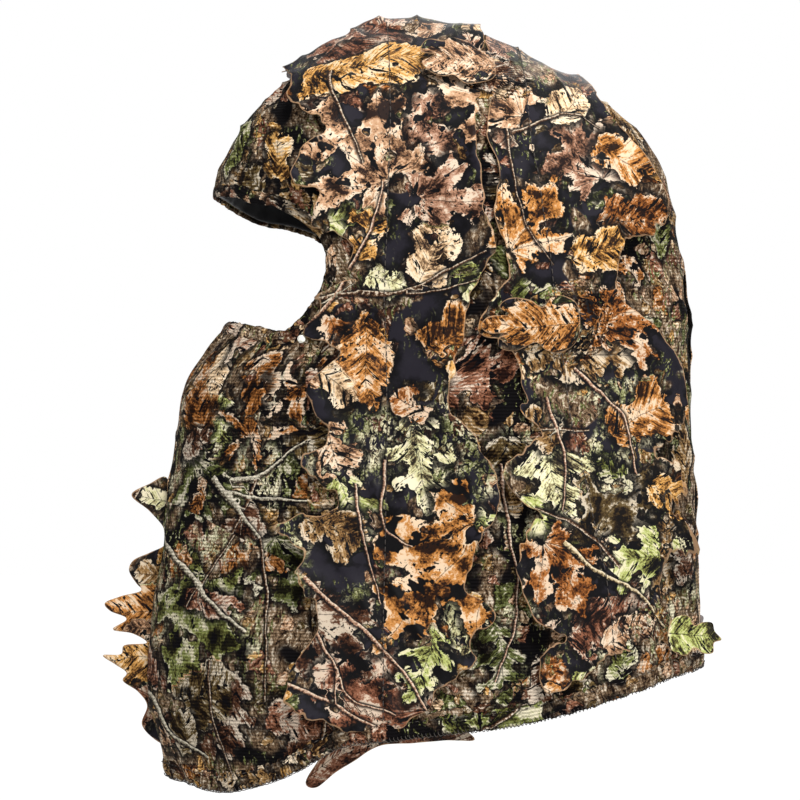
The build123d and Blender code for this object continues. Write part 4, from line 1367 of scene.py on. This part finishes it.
def leaf_frame(node, joint):
    """Origin, along, across and out of a loose leaf, from its solid and its hinge."""
    mesh = frame["nodes"][node].data
    largest = max(mesh.polygons, key=lambda f: f.area)
    out = np.array(largest.normal)
    across = -np.array(joint["axis"])
    across /= np.linalg.norm(across)
    corner = np.array([v.co for v in mesh.vertices])
    origin = np.array(joint["pos_m"])
    along = np.cross(across, out)
    if (corner.mean(axis=0) - origin) @ along < 0:
        along = -along
    if out @ outward(origin[None])[0] < 0:
        out = -out
    return origin, along / np.linalg.norm(along), across, out


def loose_leaf(kind, side, sign):
    node = f"{kind}_{side}"
    joint = next(j for j in frame["joints"] if j["child"] == node)
    origin, along, across, out = leaf_frame(node, joint)
    edge = smooth_outline(np.array(LEAF_OUTLINES[kind], float) * MM, 1.0 * MM)
    flat, faces = fill_outline(edge, 1.2 * MM, 80)
    x, y = flat[:, 0], flat[:, 1]
    wave = lattice_noise(np.stack([x / (13 * MM), y / (13 * MM), 0 * x + 2 * sign], axis=1), 81)
    inward = edge_distance(flat, edge)
    bend = LEAF_BEND[kind]
    rise = 1.6 * MM - bend * x**2 - 5 * y**2 + np.clip(x / (30 * MM), 0, 1) * wave * 2.2 * MM
    rise += np.exp(-inward / (4 * MM)) * np.clip(x / (20 * MM), 0, 1) * 1.4 * MM
    vertices = origin + (x + 1.5 * MM)[:, None] * along + y[:, None] * across + rise[:, None] * out
    if np.cross(along, across) @ out < 0:
        faces = [f[::-1] for f in faces]
    obj = piece(f"{node}_cloth", vertices, faces, node, LEAF_CLOTH, flat + (sign * 2.3 + len(kind), 0.5))
    whole = ("beech", np.array([-7.0, 0.0]), 58, 0, LEAF_TINT[kind])
    print_cloth(obj, vertices, flat, 82 + len(SHEETS), fill=5, inward=inward, own=[whole])
    thicken(obj, 0.35 * MM, LEAF_REVERSE, from_reverse=False)
    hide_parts(node)
    SHEETS.append((obj, flat, faces))


for kind in LEAF_OUTLINES:
    for side, sign in SIDES.items():
        loose_leaf(kind, side, sign)


# ---------------------------------------------------------------- sewing and trim
def hem_stitches():
    """Overlock threads that wrap the lower edge, and the topstitching above it."""
    loop = hem_loop(0.5 * MM)
    _, out, across = band_frame(loop)
    draws = np.random.default_rng(90)
    paths = []
    for i in range(0, len(loop), 4):
        path = []
        for k in range(7):
            angle = math.pi * (k / 6 - 0.08)
            at = (i + int(k * 0.8)) % len(loop)
            reach = 1.9 * MM * (1 - math.sin(angle)) - 0.5 * MM
            base = onto_hood((loop[at] + across[at] * reach)[None])[0]
            path.append(base + out[at] * (FABRIC_LIFT + math.cos(angle) * 1.7 * MM) + out[at] * folds(base[None])[0])
        jitter = draws.uniform(-0.15, 0.15, 3) * MM
        paths.append(np.array(path) + jitter)
    for i in range(0, len(loop) - 5, 7):
        at = np.arange(i, i + 5)
        base = onto_hood(loop[at] + across[at] * 8 * MM)
        lift = FABRIC_LIFT + np.array([0.9, 1.45, 1.6, 1.45, 0.9]) * MM
        paths.append(base + outward(base) * (lift + folds(base))[:, None])
    vertices, faces = tube_mesh(paths, 0.22 * MM, sides=5)
    obj = piece("hem_stitches", vertices, faces, "hood", THREAD)
    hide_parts("hem_overlock")


hem_stitches()


def elastic_tip(side, sign):
    """The melted white end of the face elastic: a bead flattened where it faces out."""
    low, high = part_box(f"elastic_end_{side}")
    centre = np.array((low + high) / 2)
    radius = (high.x - low.x) / 2
    out = outward(centre[None])[0]
    bm = bmesh.new()
    bmesh.ops.create_icosphere(bm, subdivisions=4, radius=1.0)
    draws = lattice_noise(np.array([v.co for v in bm.verts]) * 2 + 5 * sign, 95)
    for v, bump in zip(bm.verts, draws):
        way = np.array(v.co)
        facing = way @ out
        size = radius * (1 + 0.06 * bump) * (1 - 0.14 * max(0.0, facing) ** 6)
        v.co = Vector(centre + way * size)
    mesh = bpy.data.meshes.new("elastic_tip")
    bm.to_mesh(mesh)
    bm.free()
    mesh.polygons.foreach_set("use_smooth", [True] * len(mesh.polygons))
    mesh.materials.append(WHITE_TIP)
    obj = bpy.data.objects.new(f"elastic_tip_{side}", mesh)
    bpy.context.scene.collection.objects.link(obj)
    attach(obj, "hood")
    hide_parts(f"elastic_end_{side}")


for side, sign in SIDES.items():
    elastic_tip(side, sign)

frame["nodes"]["crown_seam"].data.materials.clear()
frame["nodes"]["crown_seam"].data.materials.append(THREAD)

# ---------------------------------------------------------------- the cheek gussets, and a mesh of its own for the nose cover
GUSSET_BACK, GUSSET_FRONT, GUSSET_TOP, GUSSET_BOTTOM = -42, -62, -161, -276


def cheek_gusset(side, sign, seed):
    """Gathered cloth tucked inside each cheek, built at rest and left on no body; on the real hood it spreads to fill
    the gap when the nose band is pulled down.
    """
    across = np.linspace(GUSSET_BACK, GUSSET_FRONT, 11)
    down = np.linspace(GUSSET_TOP, GUSSET_BOTTOM, 58)
    places = np.stack(np.meshgrid(across, down), axis=2)
    chart = to_chart(places.reshape(-1, 2))
    base = chart_points(chart, sign)
    vertices = base + outward(base) * (folds(base) - 1.4 * MM)[:, None]
    k = np.arange(len(vertices)).reshape(places.shape[:2])
    faces = np.stack([k[:-1, :-1], k[1:, :-1], k[1:, 1:], k[:-1, 1:]], axis=2).reshape(-1, 4)
    cut = flat_places(chart)
    obj = piece(f"cheek_gusset_{side}", vertices, faces, None, MESH_CLOTH, cut + (seed, 0))
    print_cloth(obj, base, cut, seed, True, fill=6)
    thicken(obj, 0.4 * MM)
    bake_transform(obj)
    SHEETS.append((obj, cut, faces))


cheek_gusset("left", 1, 97)
cheek_gusset("right", -1, 98)

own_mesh(nose_cover)

# ---------------------------------------------------------------- floor, light and camera
VIEW_MIDDLE = Vector((0, 0, -0.193))
VIEW_WIDTH = 0.416
CAMERA_AWAY = 2.2
AMBIENT = 0.50


def stage_set():
    mesh = bpy.data.meshes.new("floor")
    size, height = 8.0, cad_low.z - 0.22
    mesh.from_pydata([(-size, -size, height), (size, -size, height), (size, size, height), (-size, size, height)], [], [(0, 1, 2, 3)])
    g = Graph("pale_floor")
    away = g.vector("LENGTH", g.node("ShaderNodeTexCoord", output=3), output=1)
    glow = g.between(away, 0.55, 1.5)
    floor_material = g.finish(g.mix(glow, rgb(238, 238, 236), (0, 0, 0, 1)), 0.8, Emission_Color=(1, 1, 1, 1))
    shader = next(n for n in g.tree.nodes if n.type == "BSDF_PRINCIPLED")
    g.tree.links.new(glow, shader.inputs["Emission Strength"])
    mesh.materials.append(floor_material)
    floor = bpy.data.objects.new("floor", mesh)
    bpy.context.scene.collection.objects.link(floor)
    world = bpy.data.worlds.new("studio")
    world.use_nodes = True
    nodes, links = world.node_tree.nodes, world.node_tree.links
    seen = nodes.new("ShaderNodeLightPath")
    strength = nodes.new("ShaderNodeMapRange")
    strength.inputs["To Min"].default_value = AMBIENT
    strength.inputs["To Max"].default_value = 1.0
    links.new(seen.outputs["Is Camera Ray"], strength.inputs["Value"])
    links.new(strength.outputs[0], nodes["Background"].inputs[1])
    nodes["Background"].inputs[0].default_value = (1, 1, 1, 1)
    bpy.context.scene.world = world
    for name, place, power, size in (("key", (1.10, 0.30, 1.05), 34, 0.40), ("fill", (1.3, 1.1, 0.1), 7, 1.2), ("back", (-1.2, 0.3, 0.8), 10, 1.0)):
        light = bpy.data.lights.new(name, "AREA")
        light.energy, light.size = power, size
        lamp = bpy.data.objects.new(name, light)
        lamp.location = place
        lamp.rotation_euler = (VIEW_MIDDLE - Vector(place)).to_track_quat("-Z", "Y").to_euler()
        bpy.context.scene.collection.objects.link(lamp)
    data = bpy.data.cameras.new("camera")
    data.sensor_width = 36
    data.lens = data.sensor_width * CAMERA_AWAY / VIEW_WIDTH
    camera = bpy.data.objects.new("camera", data)
    camera.location = VIEW_MIDDLE + Vector((CAMERA_AWAY, 0, 0))
    camera.rotation_euler = (math.pi / 2, 0, math.pi / 2)
    bpy.context.scene.collection.objects.link(camera)
    bpy.context.scene.camera = camera
    bpy.context.scene.view_settings.view_transform = "Standard"


stage_set()
